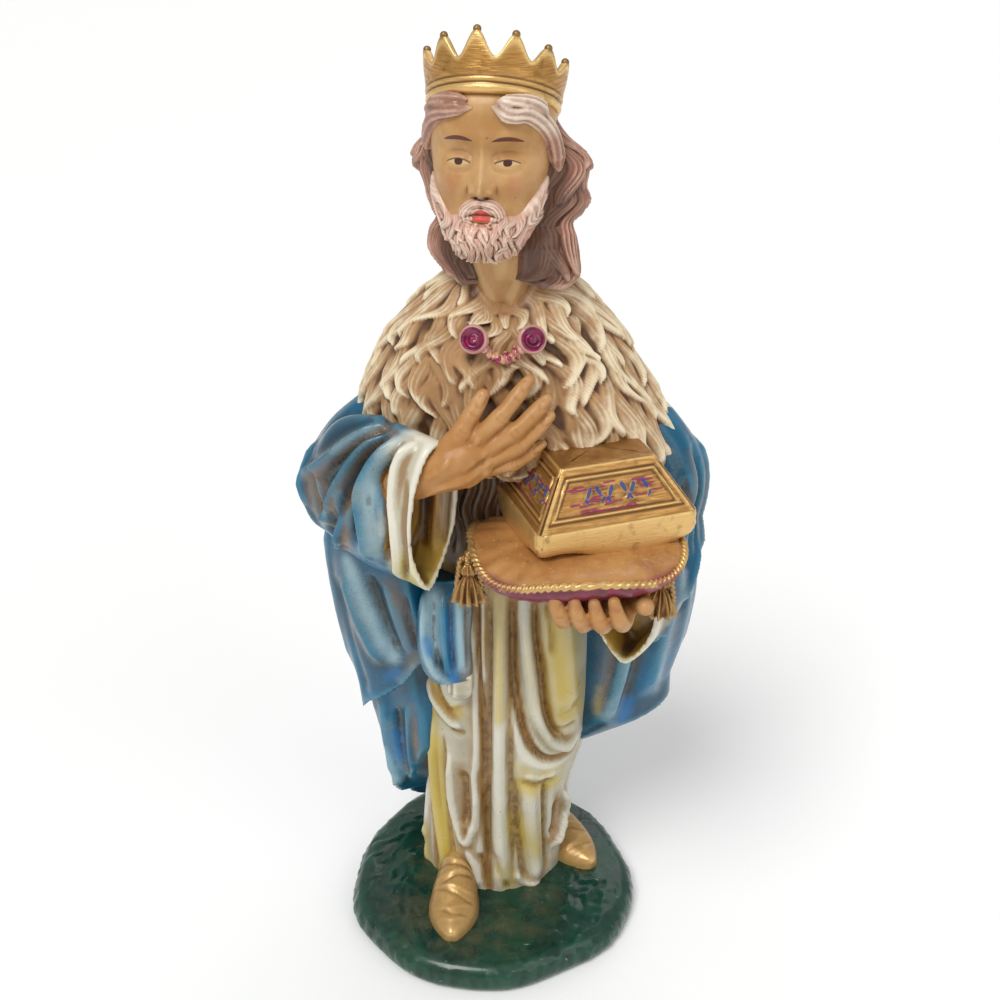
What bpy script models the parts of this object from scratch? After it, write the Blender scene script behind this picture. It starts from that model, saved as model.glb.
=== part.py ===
"""A standing nativity king, cast in one piece with its grassy base and painted.

Run it with: blender --background --python part.py
Metres, +Z up. The figure looks along -Y, and the origin is on the ground under the middle of the base.
"""

import math
import random

import bmesh
import bpy
import numpy as np
from mathutils import Matrix, Vector
from mathutils.bvhtree import BVHTree

# Real sizes, in metres.
FIGURE_HEIGHT = 0.290  # from the top of the base to just over the crown
BASE_WIDTH = 0.098
BASE_DEPTH = 0.098
BASE_THICKNESS = 0.010
CASKET_LENGTH = 0.049
CASKET_WIDTH = 0.040
CASKET_RIM_HEIGHT = 0.0085
CASKET_LID_RISE = 0.0145
CASKET_TOP_LENGTH = 0.029
CASKET_TOP_WIDTH = 0.021
CASKET_FRAME_INSET = 0.0024
CASKET_FRAME_WIDTH = 0.0007
CASKET_FRAME_DEPTH = 0.0009
CASKET_LEDGE = 0.0009
CASKET_EDGE_RADIUS = 0.0008
CUSHION_LENGTH = 0.060
CUSHION_WIDTH = 0.050
CUSHION_RISE = 0.0039  # from its seam to its top
CUSHION_BELLY = 0.0085  # from its seam to its underside
CUSHION_ROPE_RADIUS = 0.0014
CROWN_BAND_RADIUS = 0.0174
CROWN_TOP_RADIUS = 0.0192
CROWN_BAND_HEIGHT = 0.0090
CROWN_POINT_HEIGHT = 0.0036
CROWN_FRONT_POINT_HEIGHT = 0.0064
CROWN_KNOB_RADIUS = 0.0011
CROWN_WALL = 0.0022
CROWN_POINTS = 12
JEWEL_RADIUS = 0.0034
FUR_RELIEF = 0.0038
FUR_ROWS = 4
HAIR_RELIEF = 0.0030
HAIR_ROWS = 3
SHOE_LENGTH = 0.034
SHOE_WIDTH = 0.017

# The figure's own points are in 290 parts of its height, counted up from 10 at the top of the base.
GROUND = 10.0
UNIT = FIGURE_HEIGHT / 290.0

# How finely the cast is worked.
CLAY_VOXEL = 0.0011
TRIANGLES = 9800

FIGURE = "wise_man_figure"


def spot(x, y, z):
    """A point of the figure, from its parts to metres."""
    return Vector((x * UNIT, y * UNIT, BASE_THICKNESS + (z - GROUND) * UNIT))


def spot_matrix():
    """The same step as a matrix."""
    return Matrix.Translation(spot(0, 0, 0)) @ Matrix.Scale(UNIT, 4)


def spots(points):
    """The same for an array whose last axis is x, y, z."""
    points = np.asarray(points, float)
    return points * UNIT + np.array([0.0, 0.0, BASE_THICKNESS - GROUND * UNIT])


def clear_scene():
    for obj in list(bpy.data.objects):
        bpy.data.objects.remove(obj, do_unlink=True)


def smooth_path(points, count):
    """A smooth curve through the given rows of numbers, read at count even steps."""
    rows = np.asarray(points, float)
    padded = np.vstack([2 * rows[0] - rows[1], rows, 2 * rows[-1] - rows[-2]])
    at = np.linspace(0, len(rows) - 1, count)
    first = np.minimum(at.astype(int), len(rows) - 2)
    t = (at - first)[:, None]
    a, b, c, d = (padded[first + k] for k in range(4))
    return 0.5 * (2 * b + (c - a) * t + (2 * a - 5 * b + 4 * c - d) * t**2
                  + (3 * b - a - 3 * c + d) * t**3)


def mesh_object(name, points, faces):
    mesh = bpy.data.meshes.new(name)
    mesh.from_pydata([tuple(p) for p in points], [], faces)
    mesh.validate()
    obj = bpy.data.objects.new(name, mesh)
    bpy.context.scene.collection.objects.link(obj)
    return obj


def loft(name, rings):
    """A closed solid through rings of equally many points, capped at both ends."""
    rings = np.asarray(rings, float)
    levels, around = rings.shape[:2]
    points = rings.reshape(-1, 3).tolist()
    faces = []
    for level in range(levels - 1):
        for k in range(around):
            a = level * around + k
            b = level * around + (k + 1) % around
            faces.append((a, b, b + around, a + around))
    for level in (0, levels - 1):
        points.append(rings[level].mean(axis=0).tolist())
        hub = len(points) - 1
        for k in range(around):
            a = level * around + k
            b = level * around + (k + 1) % around
            faces.append((b, a, hub) if level == 0 else (a, b, hub))
    obj = mesh_object(name, points, faces)
    turn_outwards(obj)
    return obj


def turn_outwards(obj):
    work = bmesh.new()
    work.from_mesh(obj.data)
    bmesh.ops.remove_doubles(work, verts=work.verts, dist=1e-6)
    bmesh.ops.recalc_face_normals(work, faces=work.faces)
    work.to_mesh(obj.data)
    work.free()


def round_ends(path):
    """Adds a rounded tip to both ends of a row of x, y, z, radius."""
    tips = []
    for end, next_in in ((path[0], path[1]), (path[-1], path[-2])):
        out = end[:3] - next_in[:3]
        out /= max(np.linalg.norm(out), 1e-6)
        tip = []
        for turn in (0.5, 1.0, 1.35):
            tip.append((*(end[:3] + out * end[3] * math.sin(turn)), end[3] * math.cos(turn)))
        tips.append(np.array(tip))
    return np.vstack([tips[0][::-1], path, tips[1]])


def tubes(name, runs, sides=3):
    """Round tubes along smooth paths: each run is a list of (x, y, z, radius) in the figure's parts."""
    curve = bpy.data.curves.new(name, "CURVE")
    curve.dimensions = "3D"
    curve.bevel_depth = UNIT
    curve.bevel_resolution = sides
    curve.use_fill_caps = True
    for run in runs:
        path = round_ends(smooth_path(run, 6 * (len(run) - 1) + 1))
        spline = curve.splines.new("POLY")
        spline.points.add(len(path) - 1)
        for point, (x, y, z, radius) in zip(spline.points, path):
            point.co = (*spot(x, y, z), 1.0)
            point.radius = max(radius, 0.15)
    guide = bpy.data.objects.new(name + "_guide", curve)
    bpy.context.scene.collection.objects.link(guide)
    return curve_to_mesh(name, guide)


def curve_to_mesh(name, guide):
    graph = bpy.context.evaluated_depsgraph_get()
    mesh = bpy.data.meshes.new_from_object(guide.evaluated_get(graph))
    obj = bpy.data.objects.new(name, mesh)
    obj.matrix_world = guide.matrix_world
    bpy.context.scene.collection.objects.link(obj)
    bpy.data.objects.remove(guide, do_unlink=True)
    turn_outwards(obj)
    return obj


def ball(name, centre, radii):
    """A ball stretched to three radii in the figure's parts."""
    bpy.ops.mesh.primitive_uv_sphere_add(segments=32, ring_count=20, radius=1.0)
    obj = bpy.context.object
    obj.name = name
    obj.data.transform(Matrix.Diagonal((*[r * UNIT for r in radii], 1.0)))
    obj.data.transform(Matrix.Translation(spot(*centre)))
    return obj


def oval_ring(cx, cy, z, rx, ry, around=48, squareness=2.0):
    """A level ring in the figure's parts: an ellipse, or a squarer oval."""
    angle = np.linspace(0, 2 * math.pi, around, endpoint=False)
    c, s = np.cos(angle), np.sin(angle)
    power = 2.0 / squareness
    x = cx + rx * np.sign(c) * np.abs(c) ** power
    y = cy + ry * np.sign(s) * np.abs(s) ** power
    return np.stack([x, y, np.full(around, float(z))], axis=1)


# The base: a lobed mound, flat below.
def base():
    around = 72
    angle = np.linspace(0, 2 * math.pi, around, endpoint=False)
    lobes = (1 + 0.020 * np.cos(3 * angle + 0.6) + 0.012 * np.cos(5 * angle + 2.0)
             + 0.008 * np.cos(9 * angle))
    profile = ((0.955, -0.3), (1.0, 0.12), (1.0, 0.45), (0.975, 0.75), (0.93, 0.92), (0.84, 1.0), (0.5, 1.06))
    rings = []
    for reach, rise in profile:
        x = BASE_WIDTH / 2 * reach * lobes * np.cos(angle)
        y = BASE_DEPTH / 2 * reach * lobes * np.sin(angle)
        rings.append(np.stack([x, y, np.full(around, rise * BASE_THICKNESS)], axis=1))
    return [loft("base", rings)]


# The legs under the robe, with the shoes that show below it.
def shoe(name, heel, heading):
    """A soft pointed shoe with its heel at the given spot, pointing along a heading in degrees from -Y."""
    length, half = SHOE_LENGTH / UNIT, SHOE_WIDTH / 2 / UNIT
    stations = (
        (0.0, 0.62, 12.0), (0.22, 0.80, 14.5), (0.45, 0.98, 12.0), (0.66, 1.0, 8.5), (0.84, 0.72, 6.0),
        (0.96, 0.36, 4.4), (1.0, 0.16, 3.4),
    )
    turn = math.radians(heading)
    forward = np.array([math.sin(turn), -math.cos(turn)])
    aside = np.array([math.cos(turn), math.sin(turn)])
    rings = []
    for share, width, height in smooth_path(stations, 16):
        centre = np.array(heel[:2]) + forward * length * share
        ring = []
        for angle in np.linspace(0, 2 * math.pi, 20, endpoint=False):
            lift = math.sin(angle)
            side = centre + aside * half * width * math.cos(angle)
            ring.append((*side, GROUND + (height * lift if lift > 0 else 2.5 * lift)))
        rings.append(ring)
    return loft(name, spots(rings))


def legs():
    paths = [
        [(-6, 4, 128, 15), (-9, -1, 100, 14.5), (-11, -6, 74, 13), (-12, -2, 45, 10.5), (-13, -1, 18, 9)],
        [(17, 4, 128, 17), (21, 1, 100, 16.5), (20, 2, 74, 14), (15, 8, 45, 11.5), (14, 16, 18, 9)],
    ]
    made = [tubes("legs", paths, sides=6)]
    made.append(shoe("right_shoe", (-12, -2), -2))
    made.append(shoe("left_shoe", (16, 26), 36))
    return made


# The robe: a column of level ovals from the hem up to the neck.
def robe():
    profile = [
        (1.0, 12, 8, 25.5, 25), (1.0, 12, 12, 25, 25), (1.0, 11.5, 24, 24, 24), (2.5, 11, 44, 24, 24),
        (5.5, 10.5, 74, 28, 25), (6, 10, 100, 29, 24.5), (6, 9, 130, 29, 23), (6, 8, 155, 29, 21),
        (6, 8, 180, 32, 20), (6, 8, 198, 33, 18), (6, 8, 211, 26, 15), (5, 7.5, 221, 14, 12.5),
        (3.5, 6.5, 231, 10.8, 10.8), (2, 5, 245, 10.5, 10.5),
    ]
    rings = [oval_ring(*row) for row in smooth_path(profile, 52)]
    return [loft("robe", spots(rings))]


# The cloak: its outer face runs from the front left edge round the back to the front right edge.
# Each rib gives the face's top point, how far it bows out below that, and its point on the hem.
CLOAK_RIBS = (
    ((-30, -6, 165), 3, (-22, -3, 64)),
    ((-38, -2, 168), 5, (-30, 6, 44)),
    ((-43, 6, 170), 6, (-35, 16, 31)),
    ((-38, 20, 180), 5, (-33, 29, 20)),
    ((-24, 29, 190), 4, (-20, 38, 8)),
    ((6, 33, 194), 4, (0, 41.5, 8)),
    ((34, 29, 190), 4, (21, 37, 8)),
    ((50, 20, 182), 6, (34, 35, 40)),
    ((56, 8, 168), 7, (50, 29, 68)),
    ((57, -3, 160), 6, (61, 12, 79)),
    ((50, -9, 150), 4, (47, 1, 72)),
    ((42, -10, 140), 2, (36, -4, 77)),
)
CLOAK_AXIS = (5.0, 10.0)


def draped_wall(name, ribs, axis, columns, levels, folds, fold_depth, inner_share=0.45):
    """A hanging cloth as a solid: an outer face through the ribs, and an inner face hidden in the body."""
    heights = np.linspace(0, 1, levels)
    paths = []
    for top, bow, hem in ribs:
        top, hem = np.array(top, float), np.array(hem, float)
        out = (top + hem)[:2] / 2 - np.array(axis)
        out /= np.linalg.norm(out)
        path = top + (hem - top) * heights[:, None]
        path[:, :2] += out * (bow * np.sin(math.pi * np.minimum(heights * 1.15, 1.0)))[:, None]
        paths.append(path)
    paths = np.array(paths)
    grid = np.stack([smooth_path(paths[:, level], columns) for level in range(levels)])
    along = np.linspace(0, 1, columns)
    rings = []
    for level, share in enumerate(heights):
        outer = grid[level].copy()
        out = outer[:, :2] - np.array(axis)
        out /= np.linalg.norm(out, axis=1)[:, None]
        wave = np.cos(2 * math.pi * folds * along + 0.6 * np.sin(7 * along))
        ends = np.sin(math.pi * along) ** 0.5
        outer[:, :2] += out * (fold_depth * share**0.8 * wave * ends)[:, None]
        inner = outer.copy()
        inner[:, :2] = np.array(axis) + (outer[:, :2] - np.array(axis)) * inner_share
        rings.append(np.vstack([outer, inner[::-1]]))
    return loft(name, spots(rings))


def cloak():
    main = draped_wall("cloak", CLOAK_RIBS, CLOAK_AXIS, 120, 30, 7.0, 2.6)
    outer_ribs = (
        ((-28, -14, 150), 0, (-21, -12, 106)),
        ((-38, -8, 152), 1, (-30, -8, 93)),
        ((-46, -2, 152), 2, (-40, 1, 80)),
        ((-51, 6, 154), 2, (-45, 9, 75)),
        ((-48, 18, 168), 3, (-43, 25, 84)),
        ((-36, 28, 184), 3, (-33, 34, 100)),
        ((-20, 31, 188), 1, (-16, 36, 120)),
    )
    panel = draped_wall("cloak_panel", outer_ribs, CLOAK_AXIS, 70, 24, 3.0, 1.8, inner_share=0.5)
    return [main, panel]


# The end of a scarf that hangs over the robe below the right cuff, with a pale tip.
def scarf_end():
    cloth = [
        (-12, -8, 137, 7, 6), (-13.5, -11, 128, 8.5, 7), (-14.5, -13, 116, 8.5, 6.5), (-13.5, -14, 107, 8, 6),
        (-12, -14, 102, 6.5, 5),
    ]
    tip = [(-9.5, -14, 105, 4.0, 5.0), (-9.5, -14.5, 100, 4.2, 5.4), (-9.5, -14.5, 97, 3.6, 4.6)]
    made = []
    for name, rows, levels in (("scarf", cloth, 24), ("scarf_tip", tip, 8)):
        rings = [oval_ring(*row, around=40, squareness=3) for row in smooth_path(rows, levels)]
        made.append(loft(name, spots(rings)))
    return made


# The sleeves: each is a row of upright oval sections along the forearm, open at the cuff.
def sleeve(name, sections, mouth_depth, rim=2.4, around=40):
    """Sections are (x, y, z, half height, half width); the last one is the mouth of the cuff."""
    rows = smooth_path(sections, 22)
    centres = rows[:, :3]
    headings = np.gradient(centres, axis=0)
    headings /= np.linalg.norm(headings, axis=1)[:, None]
    angle = np.linspace(0, 2 * math.pi, around, endpoint=False)
    rings = []

    def section(centre, heading, tall, wide):
        aside = np.cross(heading, (0, 0, 1))
        aside /= np.linalg.norm(aside)
        up = np.cross(aside, heading)
        sag = np.where(np.sin(angle) < 0, 1.0 - 0.25 * np.abs(np.sin(angle)) ** 2, 1.0)
        return centre + np.outer(np.cos(angle) * sag * wide, aside) + np.outer(np.sin(angle) * tall, up)

    for row, heading in zip(rows, headings):
        rings.append(section(row[:3], heading, row[3], row[4]))
    mouth, heading = rows[-1], headings[-1]
    for share, depth in ((0.0, 0.0), (0.15, 0.6), (0.3, 1.0)):
        inner = section(mouth[:3] - heading * mouth_depth * depth, heading,
                        mouth[3] - rim - 3 * share, mouth[4] - rim - 3 * share)
        rings.append(inner)
    return loft(name, spots(rings))


def sleeves():
    right_cuff = [
        (-50, 4, 164, 13, 8), (-44, -2, 164, 21, 11), (-35, -10, 165, 25, 11.5), (-26, -18, 166, 25, 10.5),
        (-16, -26, 165, 25, 11),
    ]
    left_cuff = [
        (52, 8, 152, 18, 11), (52, -3, 144, 21, 12), (48, -13, 138, 21, 12), (43, -21, 135.5, 20, 11.5),
        (39.5, -28, 135, 19.5, 11),
    ]
    upper_arms = [
        [(-30, 9, 182, 11), (-39, 6, 173, 12.5), (-46, 3, 164, 11), (-42, -4, 158, 11)],
        [(-44, 4, 168, 9), (-49.5, 3, 163, 7.5), (-48, 1, 157, 7.5)],
        [(-46, 2, 158, 8), (-43, -1, 150, 7), (-40, -3, 141, 5.5)],
        [(36, 9, 186, 11), (47, 8, 175, 12.5), (52, 6, 162, 14), (50, 0, 148, 12)],
    ]
    made = [sleeve("right_cuff", right_cuff, 11), sleeve("left_cuff", left_cuff, 10)]
    made.append(tubes("upper_arms", upper_arms, sides=6))
    return made


# The hands.
def hands():
    right = [
        [(-28, -18, 173, 6.3), (-19, -26, 179, 5.6), (-10, -25.6, 184, 5.6), (-3, -23.6, 188, 4.8)],
        [(-18, -25.5, 178, 5.0), (-7, -25.6, 180.5, 4.6), (0, -23.4, 183.5, 3.8)],
        [(-12, -26, 185, 3.6), (-7.6, -25.6, 193, 2.7), (-1.6, -21.4, 201.6, 2.1)],
        [(-3.5, -25.6, 190.5, 2.8), (3.4, -24.4, 197, 2.5), (11, -19.6, 205, 2.0)],
        [(-1.5, -25.8, 187, 2.8), (7.4, -25, 192.6, 2.5), (16, -20.6, 199.8, 2.0)],
        [(-0.5, -25.4, 183.8, 2.7), (8.4, -24.8, 188, 2.4), (17, -20.8, 195, 1.9)],
        [(-0.5, -24.4, 180.6, 2.5), (7.4, -24.4, 182.6, 2.3), (14.8, -21.6, 186.6, 1.8)],
    ]
    left = [[(52, -6, 148, 6.5), (44, -23, 147, 6.5), (36, -29, 148.5, 5.5)]]
    for step in range(4):
        x = 19.5 + 5.3 * step
        drop = (0.0, 1.2, 1.6, 1.2)[step]
        left.append([(x + 5, -34, 147, 3.0), (x + 1.5, -43.5, 143.5 - drop, 2.8), (x, -47.5, 147 - drop, 2.6),
                     (x - 0.8, -48, 152 - drop, 2.3)])
    left.append([(41, -32, 147, 3.2), (43, -41, 146.5, 3.0), (43.5, -45.5, 148, 2.6)])
    return [tubes("hands", right + left, sides=5)]


# The cushion with its rope edge and two tassels, and the casket that lies on it.
CUSHION_SPOT = (25.0, -25.0, 156.5)
CUSHION_TURN = math.radians(8)
CASKET_SPOT = (30.0, -16.5)
CASKET_TURN = math.radians(19)


def cushion_edge(angle):
    """The seam's plan point and height, in metres about the cushion's middle."""
    c, s = math.cos(angle), math.sin(angle)
    x = CUSHION_LENGTH / 2 * math.copysign(abs(c) ** 0.72, c)
    y = CUSHION_WIDTH / 2 * math.copysign(abs(s) ** 0.72, s)
    lift = CUSHION_RISE / 3 * math.cos(4 * angle + 0.5)
    return Matrix.Rotation(CUSHION_TURN, 3, "Z") @ Vector((x, y, lift))


def cushion():
    around = 64
    middle = spot(*CUSHION_SPOT)
    rings = []
    for share in np.linspace(-0.98, 0.98, 13):
        reach = math.sqrt(1 - share**2) ** 0.6
        swell = share * (CUSHION_RISE if share > 0 else CUSHION_BELLY)
        ring = []
        for angle in np.linspace(0, 2 * math.pi, around, endpoint=False):
            edge = cushion_edge(angle)
            ring.append(middle + Vector((edge.x * reach, edge.y * reach, edge.z * (1 - abs(share)) + swell)))
        rings.append([tuple(p) for p in ring])
    made = [loft("cushion", rings)]
    cord = bpy.data.curves.new("cushion_cord", "CURVE")
    cord.dimensions = "3D"
    cord.bevel_depth = CUSHION_ROPE_RADIUS
    cord.bevel_resolution = 2
    spline = cord.splines.new("POLY")
    steps = 120
    spline.points.add(steps - 1)
    spline.use_cyclic_u = True
    for k, point in enumerate(spline.points):
        edge = cushion_edge(2 * math.pi * k / steps)
        point.co = (*(middle + edge * 1.01), 1.0)
        point.radius = 1.0 + 0.16 * math.cos(math.pi * k)
    guide = bpy.data.objects.new("cushion_cord_guide", cord)
    bpy.context.scene.collection.objects.link(guide)
    made.append(curve_to_mesh("cushion_cord", guide))
    tassels = []
    for x, y, z in ((-6.0, -28, 151), (49.0, -35, 151)):
        inward = 6 if x < CUSHION_SPOT[0] else -6
        tassels.append([
            (x + inward, y + 5, z + 6, 1.8), (x, y, z, 1.6), (x, y, z - 2, 2.6), (x, y, z - 3.6, 1.8),
            (x, y, z - 6, 3.1), (x, y + 0.5, z - 10, 3.8), (x, y + 1, z - 11, 3.4),
        ])
    made.append(tubes("tassels", tassels, sides=4))
    return made


def casket():
    """A box with a short upright rim and a sloping lid, framed panels on its slopes."""
    top_length, top_width = CASKET_TOP_LENGTH / 2, CASKET_TOP_WIDTH / 2
    bpy.ops.mesh.primitive_cube_add(size=1.0)
    box = bpy.context.object
    box.name = "casket"
    box.data.transform(Matrix.Diagonal((CASKET_LENGTH, CASKET_WIDTH, CASKET_RIM_HEIGHT, 1.0)))
    work = bmesh.new()
    work.from_mesh(box.data)
    work.faces.ensure_lookup_table()
    top = max(work.faces, key=lambda f: f.calc_center_median().z)
    bmesh.ops.inset_region(work, faces=[top], thickness=CASKET_LEDGE, use_even_offset=True)
    lid = bmesh.ops.extrude_face_region(work, geom=[top])
    bmesh.ops.delete(work, geom=[top], context="FACES")
    rim_top = CASKET_RIM_HEIGHT / 2
    for vert in [g for g in lid["geom"] if isinstance(g, bmesh.types.BMVert)]:
        vert.co.x = math.copysign(top_length, vert.co.x)
        vert.co.y = math.copysign(top_width, vert.co.y)
        vert.co.z = rim_top + CASKET_LID_RISE
    work.normal_update()
    slopes = [f for f in work.faces if 0.2 < f.normal.z < 0.95 and f.calc_area() > 1e-5]
    bmesh.ops.inset_individual(work, faces=slopes, thickness=CASKET_FRAME_INSET, depth=0.0)
    bmesh.ops.inset_individual(work, faces=slopes, thickness=CASKET_FRAME_WIDTH, depth=-CASKET_FRAME_DEPTH)
    work.to_mesh(box.data)
    work.free()
    bevel = box.modifiers.new("soft_edges", "BEVEL")
    bevel.width = CASKET_EDGE_RADIUS
    bevel.segments = 2
    bevel.limit_method = "ANGLE"
    cushion_top = spot(*CUSHION_SPOT).z + CUSHION_RISE
    place = Matrix.Translation(Vector((CASKET_SPOT[0] * UNIT, CASKET_SPOT[1] * UNIT,
                                       cushion_top + CASKET_RIM_HEIGHT / 2)))
    box.data.transform(place @ Matrix.Rotation(CASKET_TURN, 4, "Z"))
    return [box]


# The fur cape: a bell from the neck over the shoulders, worked all over in wavy locks.
CAPE_PROFILE = (
    (4.5, 6, 233, 12, 11.5), (5, 6.5, 228, 17, 14.5), (5, 7, 221, 25, 18.5), (5, 7.5, 212, 33, 21.5),
    (5.5, 8, 203, 38, 24), (6.5, 8, 194, 43, 26), (8, 8, 186, 46.5, 27), (9.5, 8, 178, 48, 27),
    (9.5, 8, 174, 46, 25.5),
)


def lock_height(across, down, locks):
    """How far the fur stands out at each point of a sheet, from rows of wavy locks that lap like shingles."""
    height = np.zeros(np.shape(across))
    for at, start, length, width, sway, phase in locks:
        along = (down - start) / length
        inside = (along > 0) & (along < 1)
        bend = sway * np.sin(5 * along + phase)
        offset = np.abs(across - at - bend) / (width * np.clip(1.3 - 0.75 * along, 0.05, 1))
        rise = np.clip(1 - offset, 0, 1) ** 0.6 * (0.35 + 0.65 * along) * np.clip((1 - along) / 0.14, 0, 1)
        height = np.maximum(height, np.where(inside, rise, 0))
    return height


def fur_locks():
    """Rows of long locks: place round the cape, top, length, half width, sway and phase of each."""
    dice = random.Random(7)
    locks = []
    for row in range(FUR_ROWS):
        many = 12 + 3 * row
        for k in range(many):
            around_share = (k + dice.uniform(-0.25, 0.25) + 0.5 * (row % 2)) / many
            top = 0.02 + 0.8 / FUR_ROWS * row + dice.uniform(-0.03, 0.03)
            locks.append((around_share, top, dice.uniform(0.24, 0.30), 0.44 / many,
                          dice.uniform(0.006, 0.011), dice.uniform(0, 6.28)))
    return locks


def cape():
    around, levels = 200, 60
    rows = smooth_path(CAPE_PROFILE, levels)
    rings = np.array([oval_ring(*row, around=around) for row in rows])
    share = np.linspace(0, 1, levels)[:, None]
    angle = np.linspace(0, 2 * math.pi, around, endpoint=False)[None, :]
    collar = np.clip(1 - share / 0.4, 0, 1) * np.clip(-np.sin(angle), 0, 1) ** 2
    rings[:, :, 2] -= 13.0 * collar
    rings[:, :, 1] -= 3.0 * collar
    tilt = (rings[:, :, 0] - 8) * -0.13 + np.maximum(rings[:, :, 1] - 8, 0) * -0.25
    rings[:, :, 2] += tilt * share**1.5
    centre = rings.mean(axis=1, keepdims=True)
    out = rings - centre
    out /= np.linalg.norm(out, axis=2, keepdims=True)
    across = np.broadcast_to(np.arange(around)[None, :] / around, (levels, around))
    down = np.broadcast_to(share, (levels, around))
    height = lock_height(across, down, fur_locks())
    rings += out * (FUR_RELIEF / UNIT * (height * np.minimum(1, 6 * share) - 0.5))[:, :, None]
    return [loft("cape", spots(rings))]


# The head: level ovals from the chin to the crown of the skull, with the features pressed into it.
HEAD_SPOT = (1.0, 2.0, 262.0)
HEAD_TURN = math.radians(-9)
HEAD_TILT = math.radians(-7)


def head_matrix():
    """From the head's own millimetres, origin between the ears, to the figure's place."""
    turn = Matrix.Rotation(HEAD_TURN, 4, "Z") @ Matrix.Rotation(HEAD_TILT, 4, "X")
    return Matrix.Translation(spot(*HEAD_SPOT)) @ turn @ Matrix.Scale(UNIT, 4)


# Each dab is (x, z, spread in x, spread in z, how far it pushes out); those off the middle are mirrored.
FACE_DABS = (
    (0.0, -1.5, 1.5, 4.2, 2.4), (0.0, -6.2, 1.7, 2.2, 2.6), (2.2, -6.8, 1.1, 1.2, 1.0),
    (6.4, 1.2, 3.0, 2.4, -2.3), (6.4, 0.6, 2.6, 1.7, 1.5), (6.8, 6.4, 4.2, 1.5, 0.7),
    (9.5, -6.0, 3.4, 3.6, 0.8), (0.0, -13.4, 3.0, 1.3, 0.8), (0.0, -20.0, 4.0, 3.0, 0.8),
)


def beard_rise(x, z):
    """How thick the beard and moustache stand on the jaw at face point x, z."""
    far = np.abs(x)
    cheek_line = -11.0 - 3.0 * np.exp(-(((far - 8.0) / 3.4) ** 2)) + 0.16 * np.clip(far - 9, 0, 9) ** 2
    on_jaw = 1 / (1 + np.exp((z - cheek_line) / 0.5))
    mouth = np.clip((x / 4.0) ** 2 + ((z + 13.4) / 2.6) ** 2 - 0.6, 0, 1)
    locks = 0.5 * np.cos(14 * np.arctan2(x, 8 - z) + 0.5 * np.sin(0.6 * z))
    jaw = (2.2 + 1.4 * np.exp(-((far / 6) ** 2) - ((z + 21) / 5) ** 2) + locks) * on_jaw * mouth
    from_mouth = np.hypot(x, z + 14.2)
    moustache = np.exp(-(((from_mouth - 5.0) / 1.3) ** 2)) * np.clip((z + 16.5) / 3, 0, 1)
    return np.maximum(jaw, 2.0 * moustache)


def head_front(x, z):
    """How far the features stand out of the plain head at face point x, z."""
    rise = np.zeros(np.shape(x))
    for at, height, wide, tall, push in FACE_DABS:
        for side in (1, -1) if at else (1,):
            rise = rise + push * np.exp(-(((x - side * at) / wide) ** 2) - ((z - height) / tall) ** 2)
    return rise + beard_rise(x, z)


def head():
    # Rows are the level, half the width, and how far the front and the back reach.
    profile = (
        (-25.5, 3.0, -12.0, -5.0), (-24.0, 6.5, -14.2, -2.0), (-21.5, 9.2, -15.8, 1.0),
        (-17.5, 11.6, -16.6, 6.0), (-12, 13.7, -17.0, 11.0), (-5, 15.4, -17.2, 15.5),
        (2, 16.5, -17.2, 18.0), (9, 17.1, -17.6, 19.5), (15, 16.6, -16.6, 19.0),
        (18.5, 14.4, -14.0, 16.0), (20.5, 9.6, -9.0, 11.0), (21.2, 3.0, -2.5, 4.0),
    )
    angle = np.linspace(0, 2 * math.pi, 56, endpoint=False)
    rings = []
    for z, wide, front, back in smooth_path(profile, 60):
        c, s = np.cos(angle), np.sin(angle)
        middle = (front + back) / 2
        x = wide * np.sign(c) * np.abs(c) ** 0.92
        y = middle + (back - front) / 2 * np.sign(s) * np.abs(s) ** 0.92
        facing = np.clip(-s, 0, 1) ** 0.5
        y = y - head_front(x, z) * facing
        rings.append(np.stack([x, y, np.full(len(angle), z)], axis=1))
    obj = loft("head", rings)
    obj.data.transform(head_matrix())
    return [obj]


# The hair: one mass of waves from under the crown to the shoulders, open before the face. Each row is a level
# in the head's millimetres and how far the hair reaches there to the left, to the right and to the back.
HAIR_REACH = (
    (15, 15.5, 15.5, 17.5), (10, 17.2, 17.2, 19.5), (5.5, 20.0, 18.4, 21), (1.5, 24.5, 21.4, 22),
    (-2.5, 26.2, 21.6, 22), (-7.5, 25.2, 19.0, 20.5), (-11.5, 26.0, 17.6, 19.5), (-16.5, 22.6, 15.6, 18),
    (-20.5, 23.8, 17.2, 18.5), (-26, 24.6, 17.2, 18.5), (-31, 24.4, 12.5, 17), (-34, 21, 9, 14),
)
HAIR_MIDDLE = 2.0
HAIR_BEFORE_EARS = math.radians(34)
HAIR_INNER_SHARE = 0.42


def hair_locks():
    """Rows of heavy locks: place across the hair, top, length, half width, sway and phase of each."""
    dice = random.Random(21)
    locks = []
    for row in range(HAIR_ROWS):
        many = 11 + row
        for k in range(many):
            across = (k + 0.5 + dice.uniform(-0.2, 0.2) + 0.5 * (row % 2)) / many
            top = -0.05 + 0.3 * row + dice.uniform(-0.04, 0.04)
            locks.append((across, top, dice.uniform(0.36, 0.44), 0.55 / many, dice.uniform(0.012, 0.020),
                          dice.uniform(0, 6.28)))
    return locks


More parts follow.
